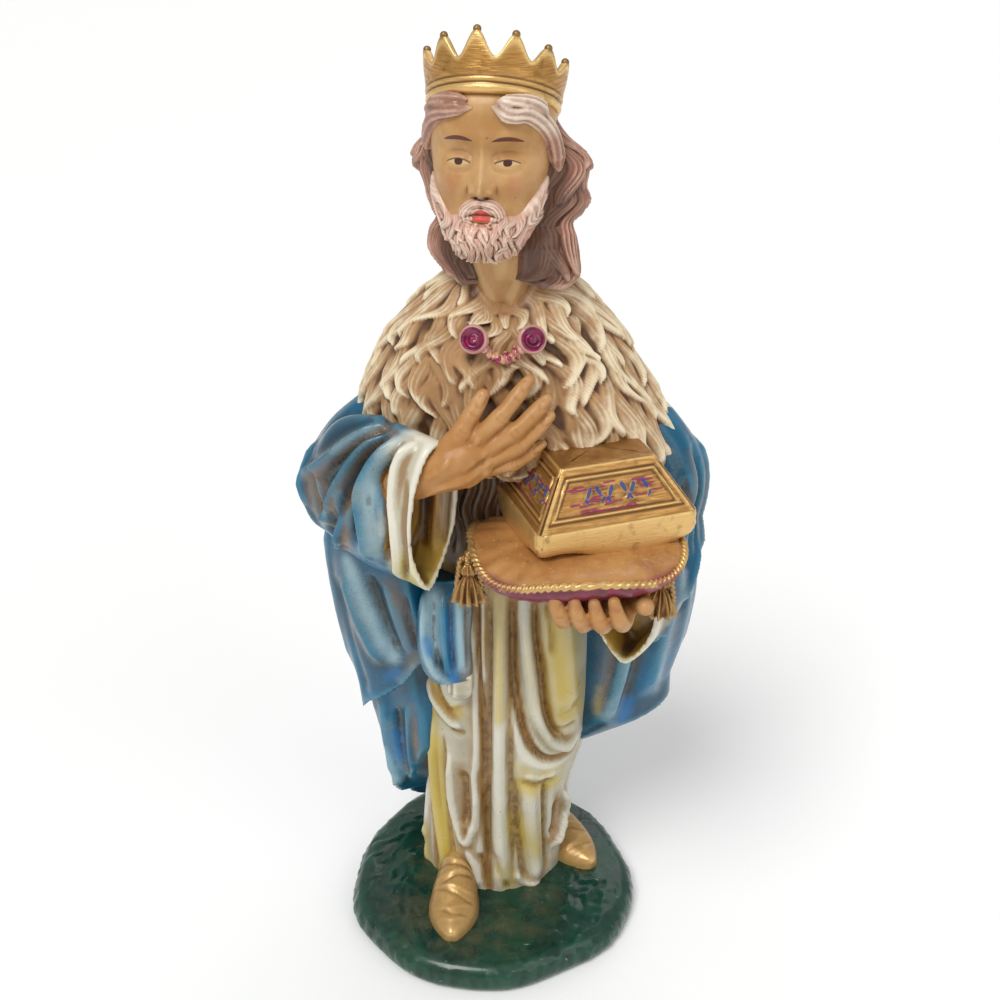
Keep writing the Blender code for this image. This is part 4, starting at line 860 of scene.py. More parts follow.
spray(scarf, "bright", front((((-13, 128), (-12.6, 116), (-11.4, 104)), 1.3, 1.0),
                             (((-19.5, 119), (-18.6, 115)), 1.3, 1.0)))
note_even(scarf, ["yellow"])
hand_over(scarf, blue_lacquer)

tip_rings = [oval_ring(*row, around=60, squareness=4) for row in smooth_path(TIP_PROFILE, 16)]
scarf_tip = one_skin("scarf_tip", [loft("tip_form", spots(tip_rings))], 0.0005, 1)
carve(scarf_tip, front((((-12.2, 103), (-12.4, 96)), 0.6, -0.9),
                       (((-13, 103.5), (-9, 104), (-6, 103.5)), 0.6, -0.6)))
note_relief(scarf_tip)
note_even(scarf_tip, ["yellow", "brown"])
hand_over(scarf_tip, pearl_lacquer)


# The sleeves: wide and heavy, gathered at the bent elbows and open at the cuffs. They are blue outside,
# pearl and yellow round the cuffs, and brown within, with painted shade in their folds and painted highlight
# on their crests.
def sleeve(name, sections, mouth_depth, rim=1.8, around=72):
    """Sections are (x, y, z, half height, half width); the last one is the mouth of the cuff."""
    rows = smooth_path(sections, 40)
    headings = np.gradient(rows[:, :3], axis=0)
    headings /= np.linalg.norm(headings, axis=1)[:, None]
    angle = np.linspace(0, 2 * math.pi, around, endpoint=False)

    def section(centre, heading, tall, wide, narrow=0.25):
        aside = np.cross(heading, (0, 0, 1))
        aside /= np.linalg.norm(aside)
        up = np.cross(aside, heading)
        sag = np.where(np.sin(angle) < 0, 1.0 - narrow * np.abs(np.sin(angle)) ** 2, 1.0)
        return centre + np.outer(np.cos(angle) * sag * wide, aside) + np.outer(np.sin(angle) * tall, up)

    rings = [section(row[:3], heading, row[3], row[4], 0.25 + 0.3 * (k / len(rows)) ** 4)
             for k, (row, heading) in enumerate(zip(rows, headings))]
    mouth, heading = rows[-1], headings[-1]
    for share, depth in ((0.0, 0.0), (0.1, 0.3), (0.15, 0.6), (0.3, 1.0)):
        rings.append(section(mouth[:3] - heading * mouth_depth * depth, heading,
                             mouth[3] - rim - 3 * share, mouth[4] - rim - 3 * share, 0.5))
    return loft(name, spots(rings))


def round_ends(path):
    """Adds a rounded tip to both ends of a row of x, y, z, radius."""
    tips = []
    for end, next_in in ((path[0], path[1]), (path[-1], path[-2])):
        out = end[:3] - next_in[:3]
        out /= max(np.linalg.norm(out), 1e-6)
        tips.append(np.array([(*(end[:3] + out * end[3] * math.sin(turn)), end[3] * math.cos(turn))
                              for turn in (0.4, 0.8, 1.15, 1.4)]))
    return np.vstack([tips[0][::-1], path, tips[1]])


def tubes(name, runs, sides=6, steps=8):
    """Round limbs along smooth paths: each run is a list of (x, y, z, radius) in the figure's parts."""
    curve = bpy.data.curves.new(name, "CURVE")
    curve.dimensions = "3D"
    curve.bevel_depth = UNIT
    curve.bevel_resolution = sides
    curve.use_fill_caps = True
    for run in runs:
        path = round_ends(smooth_path(run, steps * (len(run) - 1) + 1))
        spline = curve.splines.new("POLY")
        spline.points.add(len(path) - 1)
        for point, (x, y, z, radius) in zip(spline.points, path):
            point.co = (*spot(x, y, z), 1.0)
            point.radius = max(radius, 0.12)
    guide = bpy.data.objects.new(name + "_guide", curve)
    bpy.context.scene.collection.objects.link(guide)
    mesh = bpy.data.meshes.new_from_object(guide.evaluated_get(bpy.context.evaluated_depsgraph_get()))
    bpy.data.objects.remove(guide, do_unlink=True)
    piece = bpy.data.objects.new(name, mesh)
    bpy.context.scene.collection.objects.link(piece)
    turn_outwards(piece)
    return piece


RIGHT_CUFF = ((-50, 4, 164, 13, 8), (-44, -2, 164, 21, 11), (-35, -10, 165, 25, 11.5),
              (-26, -18, 166, 25, 10.5),
              (-16, -26, 165, 25, 11))
LEFT_CUFF = ((52, 8, 152, 18, 11), (52, -3, 144, 21, 12), (48, -13, 138, 21, 12), (43, -21, 135.5, 20, 11.5),
             (39.5, -28, 135, 19.5, 11))
RIGHT_ARM = (((-30, 9, 182, 11), (-39, 6, 173, 12.5), (-46, 3, 164, 11), (-42, -4, 158, 11)),
             ((-44, 4, 168, 9), (-49.5, 3, 163, 7.5), (-48, 1, 157, 7.5)))
LEFT_ARM = (((36, 9, 186, 11), (47, 8, 175, 12.5), (52, 6, 162, 14), (50, 0, 148, 12)),)
RIGHT_SLEEVE_FOLDS = (
    (((-30, 191), (-39.5, 185), (-46.5, 178), (-55, 169)), 1.6, 2.2),
    (((-26, 192), (-36, 186), (-44, 177), (-51, 168)), 1.6, -1.8),
    (((-28, 191), (-37, 183), (-43, 173), (-48.5, 161), (-50, 153)), 1.4, 2.4),
    (((-27, 190), (-34, 184), (-39, 174), (-44, 162), (-47, 152)), 1.5, -2.4),
    (((-22, 192), (-28, 186.5), (-33, 180), (-36.5, 172), (-36, 163), (-35.5, 155), (-37, 148)), 2.4, 3.0),
    (((-39.6, 171), (-39, 163), (-40, 153)), 1.7, -3.2),
    (((-42, 172), (-43.8, 163), (-45, 152), (-45.5, 142)), 1.5, 2.6),
    (((-24.5, 188), (-30.6, 179), (-29.6, 171), (-29.4, 160), (-31, 148)), 1.4, -3.2),
    (((-47.5, 171), (-49, 165), (-48, 159)), 2.6, -1.6), (((-53, 172), (-55.5, 165), (-54, 158)), 1.4, 1.2),
    (((-20, 190), (-25, 185), (-26.6, 175), (-26.2, 166), (-26, 156), (-26.5, 146), (-25, 136)), 1.5, 2.2),
    (((-22.6, 182), (-24, 168), (-24, 156), (-25, 142)), 0.9, -0.9),
    (((-14.6, 176), (-15.6, 162), (-16.7, 149)), 1.2, 1.1),
    (((-18.6, 174), (-19.4, 162), (-19.6, 150)), 1.1, -0.9),
    (((-11.6, 176), (-12.6, 164), (-13.6, 152)), 1.1, -0.9),
)
LEFT_SLEEVE_FOLDS = (
    (((48, 172), (53, 160), (55, 146)), 1.8, 2.0), (((43, 168), (48, 158), (51, 144)), 1.6, -2.0),
    (((58, 168), (61, 156), (59, 142)), 1.6, -1.6), (((52, 140), (52.5, 128), (50, 120)), 1.6, 1.6),
)
RIGHT_SLEEVE_SIDES = (
    ("back", ((-30, 188), (-38, 178), (-46, 164)), 2.0, 1.8),
    ("back", ((-34, 190), (-42, 180), (-50, 168)), 1.8, -1.8),
    ("back", ((-40, 160), (-44, 154), (-46, 148)), 1.8, -1.8),
    ("right", ((-4, 176), (-10, 160), (-12, 146)), 1.8, -2.0),
    ("right", ((2, 178), (-2, 162), (-4, 148)), 1.8, 1.8),
)
LEFT_SLEEVE_SIDES = (
    ("left", ((10, 176), (6, 156), (-6, 140)), 2.0, 2.2),
    ("left", ((3, 176), (-2, 158), (-12, 144)), 1.8, -2.2),
    ("left", ((14, 168), (10, 150), (0, 134), (-12, 126)), 2.0, -2.0),
    ("left", ((-6, 150), (-14, 140), (-22, 134)), 1.8, 2.0),
    ("left", ((16, 160), (12, 142), (4, 128)), 1.8, 1.8),
    ("left", ((-10, 128), (-18, 124), (-26, 122)), 1.6, -1.6),
    ("back", ((40, 186), (50, 174), (56, 160)), 2.0, 2.0),
    ("back", ((36, 180), (46, 168), (52, 152)), 1.8, -2.0),
)
right_forms = [sleeve("right_cuff", RIGHT_CUFF, 11), tubes("right_arm", RIGHT_ARM)]
right_sleeve = one_skin("right_sleeve", right_forms, 0.00085)
left_forms = [sleeve("left_cuff", LEFT_CUFF, 10), tubes("left_arm", LEFT_ARM)]
left_sleeve = one_skin("left_sleeve", left_forms, 0.00088)
carve(right_sleeve, seen_from("front", RIGHT_SLEEVE_FOLDS, 1.3) + list(RIGHT_SLEEVE_SIDES))
carve(left_sleeve, seen_from("front", LEFT_SLEEVE_FOLDS, 1.3) + list(LEFT_SLEEVE_SIDES))


def cuff_depth(piece, sections, reach):
    """Notes how near each point is to the cuff's mouth, and how far inside it."""
    points = read_points(piece)
    rows = smooth_path(sections, 40)
    mouth = np.array(spot(*rows[-1][:3]))
    heading = np.array(rows[-1][:3]) - np.array(rows[-4][:3])
    heading /= np.linalg.norm(heading)
    behind = (mouth - points) @ heading / UNIT
    aside = points - mouth
    aside -= np.outer(aside @ heading, heading)
    up = aside[:, 2] / UNIT / (rows[-1][3] - 1.3)
    wide = np.linalg.norm(aside[:, :2], axis=1) / UNIT / (rows[-1][4] - 1.3)
    inside = np.clip((1.0 - np.hypot(up, wide)) * 6, 0, 1) * (behind < 14) * (behind > 0.4)
    note(piece, "lining", inside)
    note(piece, "cuff", np.clip(1 - np.abs(behind) / reach, 0, 1) * (1 - inside))
    note(piece, "low", np.clip((-aside[:, 2] / UNIT - 2) / 14, 0, 1))


for cloth, sections, reach in ((right_sleeve, RIGHT_CUFF, 15), (left_sleeve, LEFT_CUFF, 7)):
    note_relief(cloth)
    cuff_depth(cloth, sections, reach)
spray(right_sleeve, "silver", front(
    (((-22, 190), (-28, 186), (-32, 180), (-34.5, 172), (-34, 162), (-34, 152)), 2.2, 1.0),
    (((-34, 190), (-44, 182)), 2.0, 0.5), (((-48.5, 161), (-50, 154)), 1.0, 0.6)))
spray(right_sleeve, "tan", front(
    (((-30, 190), (-40, 184), (-47, 177), (-55, 168)), 1.8, 0.95),
    (((-27, 190), (-36, 183), (-43, 172), (-47, 162)), 1.7, 0.8),
    (((-38.6, 174), (-41, 163), (-43.5, 150), (-44, 140)), 1.6, 0.95),
    (((-51, 168), (-53, 162), (-51, 157)), 3.6, 0.8), (((-28, 176), (-28.5, 160)), 1.6, 0.7)))
spray(left_sleeve, "silver", front((((58, 150), (58, 134)), 1.8, 0.7)))
spray(left_sleeve, "tan",
      [("front", ((47, 172), (51, 158)), 1.6, 0.7), ("left", ((0, 172), (-6, 154)), 2.0, 0.6)])
for cloth in (right_sleeve, left_sleeve):
    note_even(cloth, ["bright", "yellow"])


def sleeve_paint(paint):
    low = paint.noted("low").between(0.1, 0.9)
    # Round the cuffs: a wash with painted shade in the folds, and painted highlight on the crests.
    pearl = paint.washed(low.over(PEARL, tint(200, 184, 92)), ("deep", 0.02, 0.7, 0.8, tint(142, 104, 58)),
                         ("proud", 0.1, 0.8, 0.6, tint(238, 234, 220)))
    edge = (paint.noted("cuff") + (paint.cloud(0.006, 2.0) - 0.5) * 0.3).between(0.05, 0.55)
    cloth = edge.over(blue_paint(paint), pearl)
    streak = paint.cloud(0.0035, 3.0, (1, 1, 0.2)).between(0.35, 0.65)
    lining = (low * 0.6).over(streak.over(tint(130, 90, 46), tint(178, 136, 72)), tint(200, 168, 76))
    # The lining's folds take a darker brown, a wash with painted shade.
    lining = paint.washed(lining, ("deep", 0.1, 0.8, 0.7, tint(74, 44, 20)))
    return paint.noted("lining").between(0.2, 0.7).over(cloth, lining)


sleeve_lacquer = paint_surface("sleeve_lacquer", sleeve_paint, satin_roughness, lacquer_grain, gloss=0.35)
for cloth in (right_sleeve, left_sleeve):
    hand_over(cloth, sleeve_lacquer)


# The fur cape: a bell over the shoulders, worked all over in rows of long wavy locks that lap like shingles.
# The recesses keep a brown wash with painted shade, darkest as painted shade between the locks, and the
# crests are brushed with cream, the strongest with a painted highlight.
FUR_RELIEF = 0.0036
CAPE_PROFILE = (
    (4.5, 6, 233, 12, 11.5), (5, 6.5, 228, 17, 14.5), (5, 7, 221, 25, 18.5), (5, 7.5, 212, 33, 21.5),
    (5.5, 8, 203, 38, 24), (6.5, 8, 194, 43, 26), (8, 8, 186, 46.5, 27), (9.5, 8, 178, 48, 27),
    (9.5, 8, 173, 46, 25.5), (9.5, 8, 171.5, 38, 20),
)


def lock_rows(seed, rows, first, more, length, step):
    """Rows of locks: place across, top, length, half width, sway, waves, phase and the curl of each tip."""
    dice = random.Random(seed)
    locks = []
    for row in range(rows):
        many = int(first + more * row)
        for k in range(many):
            locks.append(((k + dice.uniform(-0.3, 0.3) + 0.5 * (row % 2)) / many,
                          step * row - 0.05 + dice.uniform(-0.04, 0.04), dice.uniform(*length), 0.62 / many,
                          dice.uniform(0.20, 0.46) / many, dice.uniform(5, 8), dice.uniform(0, 6.28),
                          dice.choice((-0.6, -0.4, 0.4, 0.6)) / many))
    return locks


def fur_height(across, down, locks, fine, cut=0.16):
    """The height of the locks at each point, and how near the point is to its lock's tip."""
    height = np.zeros(across.shape)
    tip = np.zeros(across.shape)
    for at, start, length, width, sway, waves, phase, curl in locks:
        along = (down - start) / length
        bend = sway * (np.sin(waves * along + phase) - math.sin(phase)) + curl * np.clip(along, 0, 1) ** 4
        gap = (across - at - bend + 0.5) % 1.0 - 0.5
        offset = gap / (width * np.clip(1.15 - 1.05 * np.clip(along, 0, 1) ** 2.4, 0.05, 1))
        inside = (along > 0) & (along < 1) & (np.abs(offset) < 1)
        dome = (1 - np.clip(np.abs(offset), 0, 1) ** 2) ** 0.6
        strands = 0.5 + 0.5 * np.cos(2 * math.pi * fine * offset + 1.3 * np.sin(4 * along + phase))
        end = np.clip((1 - along) / 0.12, 0, 1) ** 0.7
        rise = dome * (0.22 + 0.78 * np.clip(along, 0, 1) ** 0.8) * end * (1 - cut + cut * strands)
        better = inside & (rise > height)
        height = np.where(better, rise, height)
        tip = np.where(better, along * (0.55 + 0.45 * strands) * dome, tip)
    return height, tip


def note_rows(piece, name, rows):
    """Notes numbers for the rings of a loft, row by row; the middles of its end caps keep 0."""
    values = np.zeros(len(piece.data.vertices))
    values[:rows.size] = rows.ravel()
    note(piece, name, values)


cape_around, cape_levels = 560, 118
cape_rings = np.array([oval_ring(*row, around=cape_around) for row in smooth_path(CAPE_PROFILE, cape_levels)])
cape_share = np.linspace(0, 1, cape_levels)[:, None]
cape_angle = np.linspace(0, 2 * math.pi, cape_around, endpoint=False)[None, :]
cape_collar = np.clip(1 - cape_share / 0.4, 0, 1) * np.clip(-np.sin(cape_angle), 0, 1) ** 2
cape_rings[:, :, 2] -= 13.0 * cape_collar
cape_rings[:, :, 1] -= 3.0 * cape_collar
cape_tilt = (cape_rings[:, :, 0] - 8) * -0.13 + np.maximum(cape_rings[:, :, 1] - 8, 0) * -0.25
cape_rings[:, :, 2] += cape_tilt * cape_share**1.5
cape_out = cape_rings - cape_rings.mean(axis=1, keepdims=True)
cape_out[:, :, 2] *= 0.35
cape_out /= np.linalg.norm(cape_out, axis=2, keepdims=True)
cape_across = np.broadcast_to(np.arange(cape_around)[None, :] / cape_around, (cape_levels, cape_around))
cape_down = np.broadcast_to(cape_share, (cape_levels, cape_around))
fur, fur_tip = fur_height(cape_across, cape_down, lock_rows(11, 8, 25, 3.2, (0.20, 0.34), 0.112), 2.2)
fur = 0.52 * fur + 0.12 * sum(np.roll(fur, way, axis) for way in (-1, 1) for axis in (0, 1))
ragged = 1 - 0.5 * np.clip((cape_share - 0.9) / 0.1, 0, 1)
cape_lift = FUR_RELIEF / UNIT * (fur * np.minimum(1, 7 * cape_share) * ragged - 0.45)
cape_rings += cape_out * cape_lift[:, :, None]
cape = loft("fur_cape", spots(cape_rings))
bpy.context.view_layer.objects.active = cape
cape.modifiers.new("rub", "SMOOTH").iterations = 1
bpy.ops.object.modifier_apply(modifier="rub")
cape.data.shade_smooth()
note_relief(cape, 0.00022, 0.0007, 14)
note_rows(cape, "tip", fur_tip)
note_rows(cape, "root", np.clip(1 - cape_down / 0.06, 0, 1))
# How low each point lies between the locks, for the painted shade there.
note_rows(cape, "low", np.clip(1 - fur / 0.45, 0, 1))
spray(cape, "blue", [("front", ((-49, 186), (-47, 178), (-44, 173)), 2.6, 0.9),
                     ("right", ((20, 184), (0, 180), (-8, 176)), 2.4, 0.8),
                     ("left", ((20, 176), (0, 170), (-8, 168)), 2.2, 0.8),
                     ("back", ((-40, 176), (0, 170), (52, 166)), 2.4, 0.8)])
spray(cape, "wash", front((((-8, 204), (4, 194), (12, 184)), 10.0, 1.0)))

FUR_CREAM = tint(228, 210, 176)
FUR_TAN = tint(176, 136, 92)
FUR_BROWN = tint(104, 66, 36)


def shade_between_locks(paint, low_end):
    """How far a point lies down between the locks, where painted shade is laid."""
    return (paint.noted("deep").between(0.5, 1.0) + paint.noted("low").between(0.1, low_end)).clear()


def fur_paint(paint):
    crest = (paint.noted("proud") * 0.55 + paint.noted("tip") * 0.95 + (paint.cloud(0.005, 3.0) - 0.5) * 1.1
             - paint.noted("wash") * 0.55)
    fur_colour = crest.between(0.0, 0.8).over(paint.blotted(FUR_TAN, tint(148, 108, 68), 0.010), FUR_CREAM)
    # Painted highlight on the strongest crests.
    fur_colour = (crest.between(0.7, 1.2) * 0.7).over(fur_colour, tint(244, 236, 214))
    # The brown wash in the recesses, with painted shade, and more painted shade between the locks.
    fur_colour = paint.washed(fur_colour, ("deep", 0.08, 0.6, 0.9, FUR_BROWN))
    fur_colour = (shade_between_locks(paint, 0.7) * 0.85).over(fur_colour, tint(76, 48, 28))
    fur_colour = (paint.noted("root") * 0.8).over(fur_colour, tint(176, 130, 88))
    return misted(paint, fur_colour, ("blue", 0.75, CLOAK_BLUE))


dull_roughness = mottled(0.004, 0.40, 0.58)
fur_finish = paint_surface("fur_wash", fur_paint, dull_roughness, lacquer_grain, gloss=0.12)
hand_over(cape, fur_finish)


# The neck and head: a man's of middle age, calm, with lowered lids. The face is a plain one on the sculptor's
# usual thirds. The skin is tan lacquer with a brown wash and painted shade in the hollows and painted
# highlight on the rises, the brows and lips touched in.
HEAD_SPOT = (1.0, 2.0, 262.0)
HEAD_TURN = math.radians(-9)
HEAD_TILT = math.radians(-7)
HEAD_PROFILE = (
    (-25.5, 3.0, -12.0, -5.0), (-24.0, 6.5, -14.2, -2.0), (-21.5, 9.2, -15.8, 1.0),
    (-17.5, 11.6, -16.6, 6.0), (-12, 13.7, -17.0, 11.0), (-5, 15.4, -17.2, 15.5),
    (2, 16.5, -17.2, 18.0), (9, 17.1, -17.6, 19.5), (15, 16.6, -16.6, 19.0),
    (18.5, 14.4, -14.0, 16.0), (20.5, 9.6, -9.0, 11.0), (21.2, 3.0, -2.5, 4.0),
)
EYE_APART = 6.5
EYE_LEVEL = 0.6
BROW_LEVEL = 6.4
NOSE_END = -8.4
MOUTH_LEVEL = -13.2
UNDER_CROWN = 16.5
NECK_PROFILE = ((6, 8, 205, 26, 16), (6, 8, 211, 25, 15), (5, 7.5, 219, 15, 13.0), (4, 6.8, 226, 11.4, 11.4),
                (3, 6, 234, 10.6, 10.8), (2, 5, 247, 10.5, 10.5))
FACE_TOUCHES = ("brow", "iris", "white", "lash", "lips", "blush")


def head_matrix():
    """From the head's own millimetres, origin between the ears, to its place on the figure."""
    turn = Matrix.Rotation(HEAD_TURN, 4, "Z") @ Matrix.Rotation(HEAD_TILT, 4, "X")
    return Matrix.Translation(spot(*HEAD_SPOT)) @ turn @ Matrix.Scale(UNIT, 4)


def hump(value, middle, spread):
    return np.exp(-(((value - middle) / spread) ** 2))


def eye_lines(beside):
    """The edges of the upper and lower lid at a distance beside the eye's middle."""
    return EYE_LEVEL + 0.35 - 0.085 * beside**2, EYE_LEVEL - 1.15 + 0.055 * beside**2


def face_rise(x, z):
    """How far the features stand out of the plain head at face point x, z."""
    far = np.abs(x)
    beside = far - EYE_APART
    upper, lower = eye_lines(beside)
    rise = -2.4 * hump(far, EYE_APART, 4.3) * hump(z, EYE_LEVEL + 1.4, 3.4)
    rise += 1.0 * hump(far, 7.0, 5.0) * hump(z, BROW_LEVEL + 0.2, 1.7)
    rise += 0.5 * hump(far, 0.0, 3.0) * hump(z, BROW_LEVEL - 0.5, 2.0)
    ball = np.clip(1 - (beside / 4.1) ** 2 - ((z - EYE_LEVEL + 0.1) / 3.2) ** 2, 0, 1) ** 0.8
    rise += 1.0 * hump(beside, 0.0, 3.6) * hump(z, EYE_LEVEL - 0.2, 2.6) + 0.7 * ball
    within = np.clip(1 - (beside / 3.6) ** 2, 0, 1) ** 0.5
    opening = 1 / (1 + np.exp((z - upper) / 0.10)) / (1 + np.exp((lower - z) / 0.12)) * within
    rise -= 0.38 * opening
    rise += 0.28 * within * hump(z, upper + 0.35, 0.38)
    rise += 0.20 * within * hump(z, lower - 0.35, 0.40)
    rise -= 0.40 * np.clip(1 - (beside / 4.4) ** 2, 0, 1) * hump(z, upper + 2.1, 0.5)
    rise -= 0.30 * np.clip(1 - (beside / 4.2) ** 2, 0, 1) * hump(z, lower - 1.7, 0.6)
    share = np.clip((BROW_LEVEL - z) / (BROW_LEVEL - NOSE_END), 0, 1)
    under = 1 / (1 + np.exp((NOSE_END - z) / 0.32))
    bridge = np.clip((BROW_LEVEL + 3 - z) / 4, 0, 1)
    rise += (0.5 + 3.6 * share**1.3) * hump(x, 0.0, 1.25 + 0.75 * share) * under * bridge
    rise += 1.0 * hump(x, 0.0, 1.7) * hump(z, NOSE_END + 1.9, 1.4) * under
    rise += 1.5 * hump(far, 2.7, 0.95) * hump(z, NOSE_END + 1.4, 1.2)
    rise -= 0.45 * hump(far, 3.9, 0.45) * hump(z, NOSE_END + 1.4, 1.5)
    rise -= 0.9 * hump(far, 1.35, 0.55) * hump(z, NOSE_END - 0.25, 0.4)
    rise += 1.2 * hump(far, 9.2, 3.4) * hump(z, -4.4, 3.2)
    rise -= 0.8 * hump(far, 9.0, 2.6) * hump(z, -11.5, 3.2)
    rise -= 0.35 * hump(far, 4.9 + 0.16 * (NOSE_END - z), 0.7) * hump(z, -9.6, 2.6)
    rise -= 0.3 * hump(x, 0.0, 0.6) * hump(z, -10.6, 1.0)
    lips = hump(x, 0.0, 3.3)
    bow = MOUTH_LEVEL + 0.95 + 0.25 * hump(far, 1.0, 0.6)
    rise += 1.1 * lips * hump(z, bow, 0.62) + 1.3 * hump(x, 0.0, 2.7) * hump(z, MOUTH_LEVEL - 1.05, 0.75)
    rise -= 0.75 * hump(x, 0.0, 3.9) * hump(z, MOUTH_LEVEL - 0.03 * x**2, 0.24)
    rise -= 0.6 * hump(x, 0.0, 3.0) * hump(z, MOUTH_LEVEL - 2.9, 0.8)
    return rise + 1.0 * hump(x, 0.0, 4.0) * hump(z, -19.6, 2.8)


head_around = 230
head_angle = np.linspace(0, 2 * math.pi, head_around, endpoint=False)
head_angle = head_angle - 0.5 * np.sin(head_angle) - math.pi / 2
head_rows = smooth_path(HEAD_PROFILE, 900)
head_levels = np.concatenate([np.linspace(-25.4, -12, 22, endpoint=False),
                              np.linspace(-12, 9, 104, endpoint=False),
                              21.1 - 12.1 * np.linspace(1, 0, 20) ** 2])
head_rows = np.stack([np.interp(head_levels, head_rows[:, 0], column) for column in head_rows.T], axis=1)


def head_form(rows, angle):
    """The plain head with its features, in its own millimetres, at the given levels."""
    rings = []
    for z, wide, front, back in rows:
        c, s = np.cos(angle), np.sin(angle)
        x = wide * np.sign(c) * np.abs(c) ** 0.92
        y = (front + back) / 2 + (back - front) / 2 * np.sign(s) * np.abs(s) ** 0.92
        y = y - face_rise(x, z) * np.clip(-s, 0, 1) ** 0.5
        rings.append(np.stack([x, y, np.full(len(angle), z)], axis=1))
    return np.array(rings)


head = loft("head", head_form(head_rows, head_angle))
face_x, face_y, face_z = read_points(head).T
face_far = np.abs(face_x)
face_front = np.clip((-face_y - 2) / 4, 0, 1)
eye_beside = face_far - EYE_APART
eye_upper, eye_lower = eye_lines(eye_beside)
brow_line = BROW_LEVEL - 0.045 * (face_far - 6.6) ** 2
brow_taper = np.clip(1 - np.abs((face_far - 6.6) / 4.2) ** 2.5, 0, 1)
open_eye = 1 / (1 + np.exp((face_z - eye_upper) / 0.08)) / (1 + np.exp((eye_lower - face_z) / 0.1))
open_eye *= np.clip((3.5 - np.abs(eye_beside)) / 0.5, 0, 1) * face_front
iris_reach = np.hypot(eye_beside / 1.3, (face_z - EYE_LEVEL + 0.3) / 1.2)
lash_end = np.clip((3.7 - np.abs(eye_beside)) / 0.6, 0, 1)
lip_form = np.maximum(hump(face_z, MOUTH_LEVEL + 0.85, 0.72), hump(face_z, MOUTH_LEVEL - 1.0, 0.85))
beside_nose = hump(face_far, 3.6, 1.6) * hump(face_z, 1.6, 2.4)
over_lids = hump(face_far, 6.2, 3.6) * hump(face_z, EYE_LEVEL + 2.0, 1.1)
nose_wing = hump(face_far, 4.3, 0.8) * hump(face_z, -8, 2.0)
face_shade = np.max([beside_nose, over_lids, nose_wing], axis=0) * face_front
head.data.transform(head_matrix())
head.data.shade_smooth()
note_relief(head, 0.00009, 0.0007, 20)
note(head, "brow", hump(face_z, brow_line, 0.62 * brow_taper + 0.05) * (brow_taper > 0.02) * face_front)
note(head, "iris", open_eye * np.clip((1 - iris_reach) * 4, 0, 1))
note(head, "white", open_eye)
note(head, "lash", hump(face_z, eye_upper + 0.05, 0.26) * lash_end * face_front)
note(head, "lips", hump(face_x, 0, 3.0) * lip_form * face_front)
note(head, "blush", hump(face_far, 8.6, 2.6) * hump(face_z, -5.2, 2.4) * face_front)
note(head, "shade", np.maximum(face_shade, face_z > UNDER_CROWN))

neck_rings = [oval_ring(*row, around=90) for row in smooth_path(NECK_PROFILE, 60)]
neck = one_skin("neck", [loft("neck_form", spots(neck_rings))], 0.0011)
carve(neck, front((((-5, 242), (-3, 232), (1.5, 222)), 1.5, 0.9), (((11, 242), (9, 232), (5, 222)), 1.5, 0.9),
                  (((3, 238), (3, 228)), 2.4, 0.4), (((3.4, 223), (3.4, 218)), 1.5, -1.2),
                  (((-12, 219), (-5, 221), (1, 220)), 1.3, 0.7),
                  (((18, 219), (11, 221), (6, 220)), 1.3, 0.7)))
note_relief(neck)
spray(neck, "shade", front((((-9, 240), (-9, 226)), 3.0, 0.7), (((14, 240), (14, 226)), 3.0, 0.7),
                           (((3.4, 222), (3.4, 217)), 1.8, 0.7), (((-2, 246), (8, 246)), 4.0, 0.6)))
note_even(neck, FACE_TOUCHES)

SKIN_TAN = tint(198, 156, 104)
SKIN_OCHRE = tint(172, 126, 72)


def skin_paint(paint):
    # Painted highlight on the rises.
    skin = paint.washed(paint.blotted(SKIN_TAN, SKIN_OCHRE, 0.010),
                        ("proud", 0.15, 0.9, 0.35, tint(222, 188, 140)))
    skin = (paint.noted("blush") * 0.35).over(skin, tint(196, 120, 96))
    # The hollows take a brown wash with painted shade; then the eyes, brows and lips are touched in.
    skin = paint.washed(
        skin, ("shade", 0.1, 1.0, 0.42, tint(136, 88, 44)), ("deep", 0.12, 0.8, 0.85, tint(104, 62, 30)),
        ("white", 0.35, 0.65, 0.75, tint(206, 176, 136)), ("iris", 0.3, 0.6, 1.0, tint(66, 32, 22)),
        ("lash", 0.3, 0.8, 0.8, tint(74, 40, 24)), ("brow", 0.35, 0.6, 0.95, tint(92, 36, 30)),
        ("lips", 0.28, 0.5, 0.95, tint(214, 84, 78)))
    return pitted(paint, skin, 0.0016, 0.77, 0.5, tint(92, 60, 36))


skin_lacquer = paint_surface("skin_lacquer", skin_paint, dull_roughness, lacquer_grain, gloss=0.15)
for piece in (head, neck):
    hand_over(piece, skin_lacquer)


# The hair and beard: heavy waves from under the crown down to the cape, and a short full beard. Each lock is
# modelled with strands cut along it, washed brown below and rubbed pink and white above, with painted shade
# between the locks and painted highlight on the crests.
FRINGE_RUNS = (
    ((-2.5, -17.0, 14.0, 1.0), (-8, -15.6, 13.4, 2.1), (-13, -11.4, 11.6, 2.4), (-16.2, -5, 6, 2.2),
     (-17.4, -1, 0, 1.8)),
    ((2, -17.2, 14.6, 1.2), (6.6, -17.0, 12.6, 2.2), (11.4, -14.0, 12.8, 2.5), (15.6, -8.6, 8.8, 2.4),
     (17.6, -4, 2, 2.4), (18.6, -2, -4, 1.6)),
    ((3.4, -17.4, 15.6, 1.0), (7.0, -17.0, 15.4, 2.0), (12.0, -13.4, 14.8, 2.4), (15.4, -8.4, 12.2, 2.4)),
    ((-4, -16.6, 16, 1.0), (-9, -15, 15.8, 1.8), (-13.6, -10.8, 14, 2.2), (-16, -6, 10, 2.0)),
)


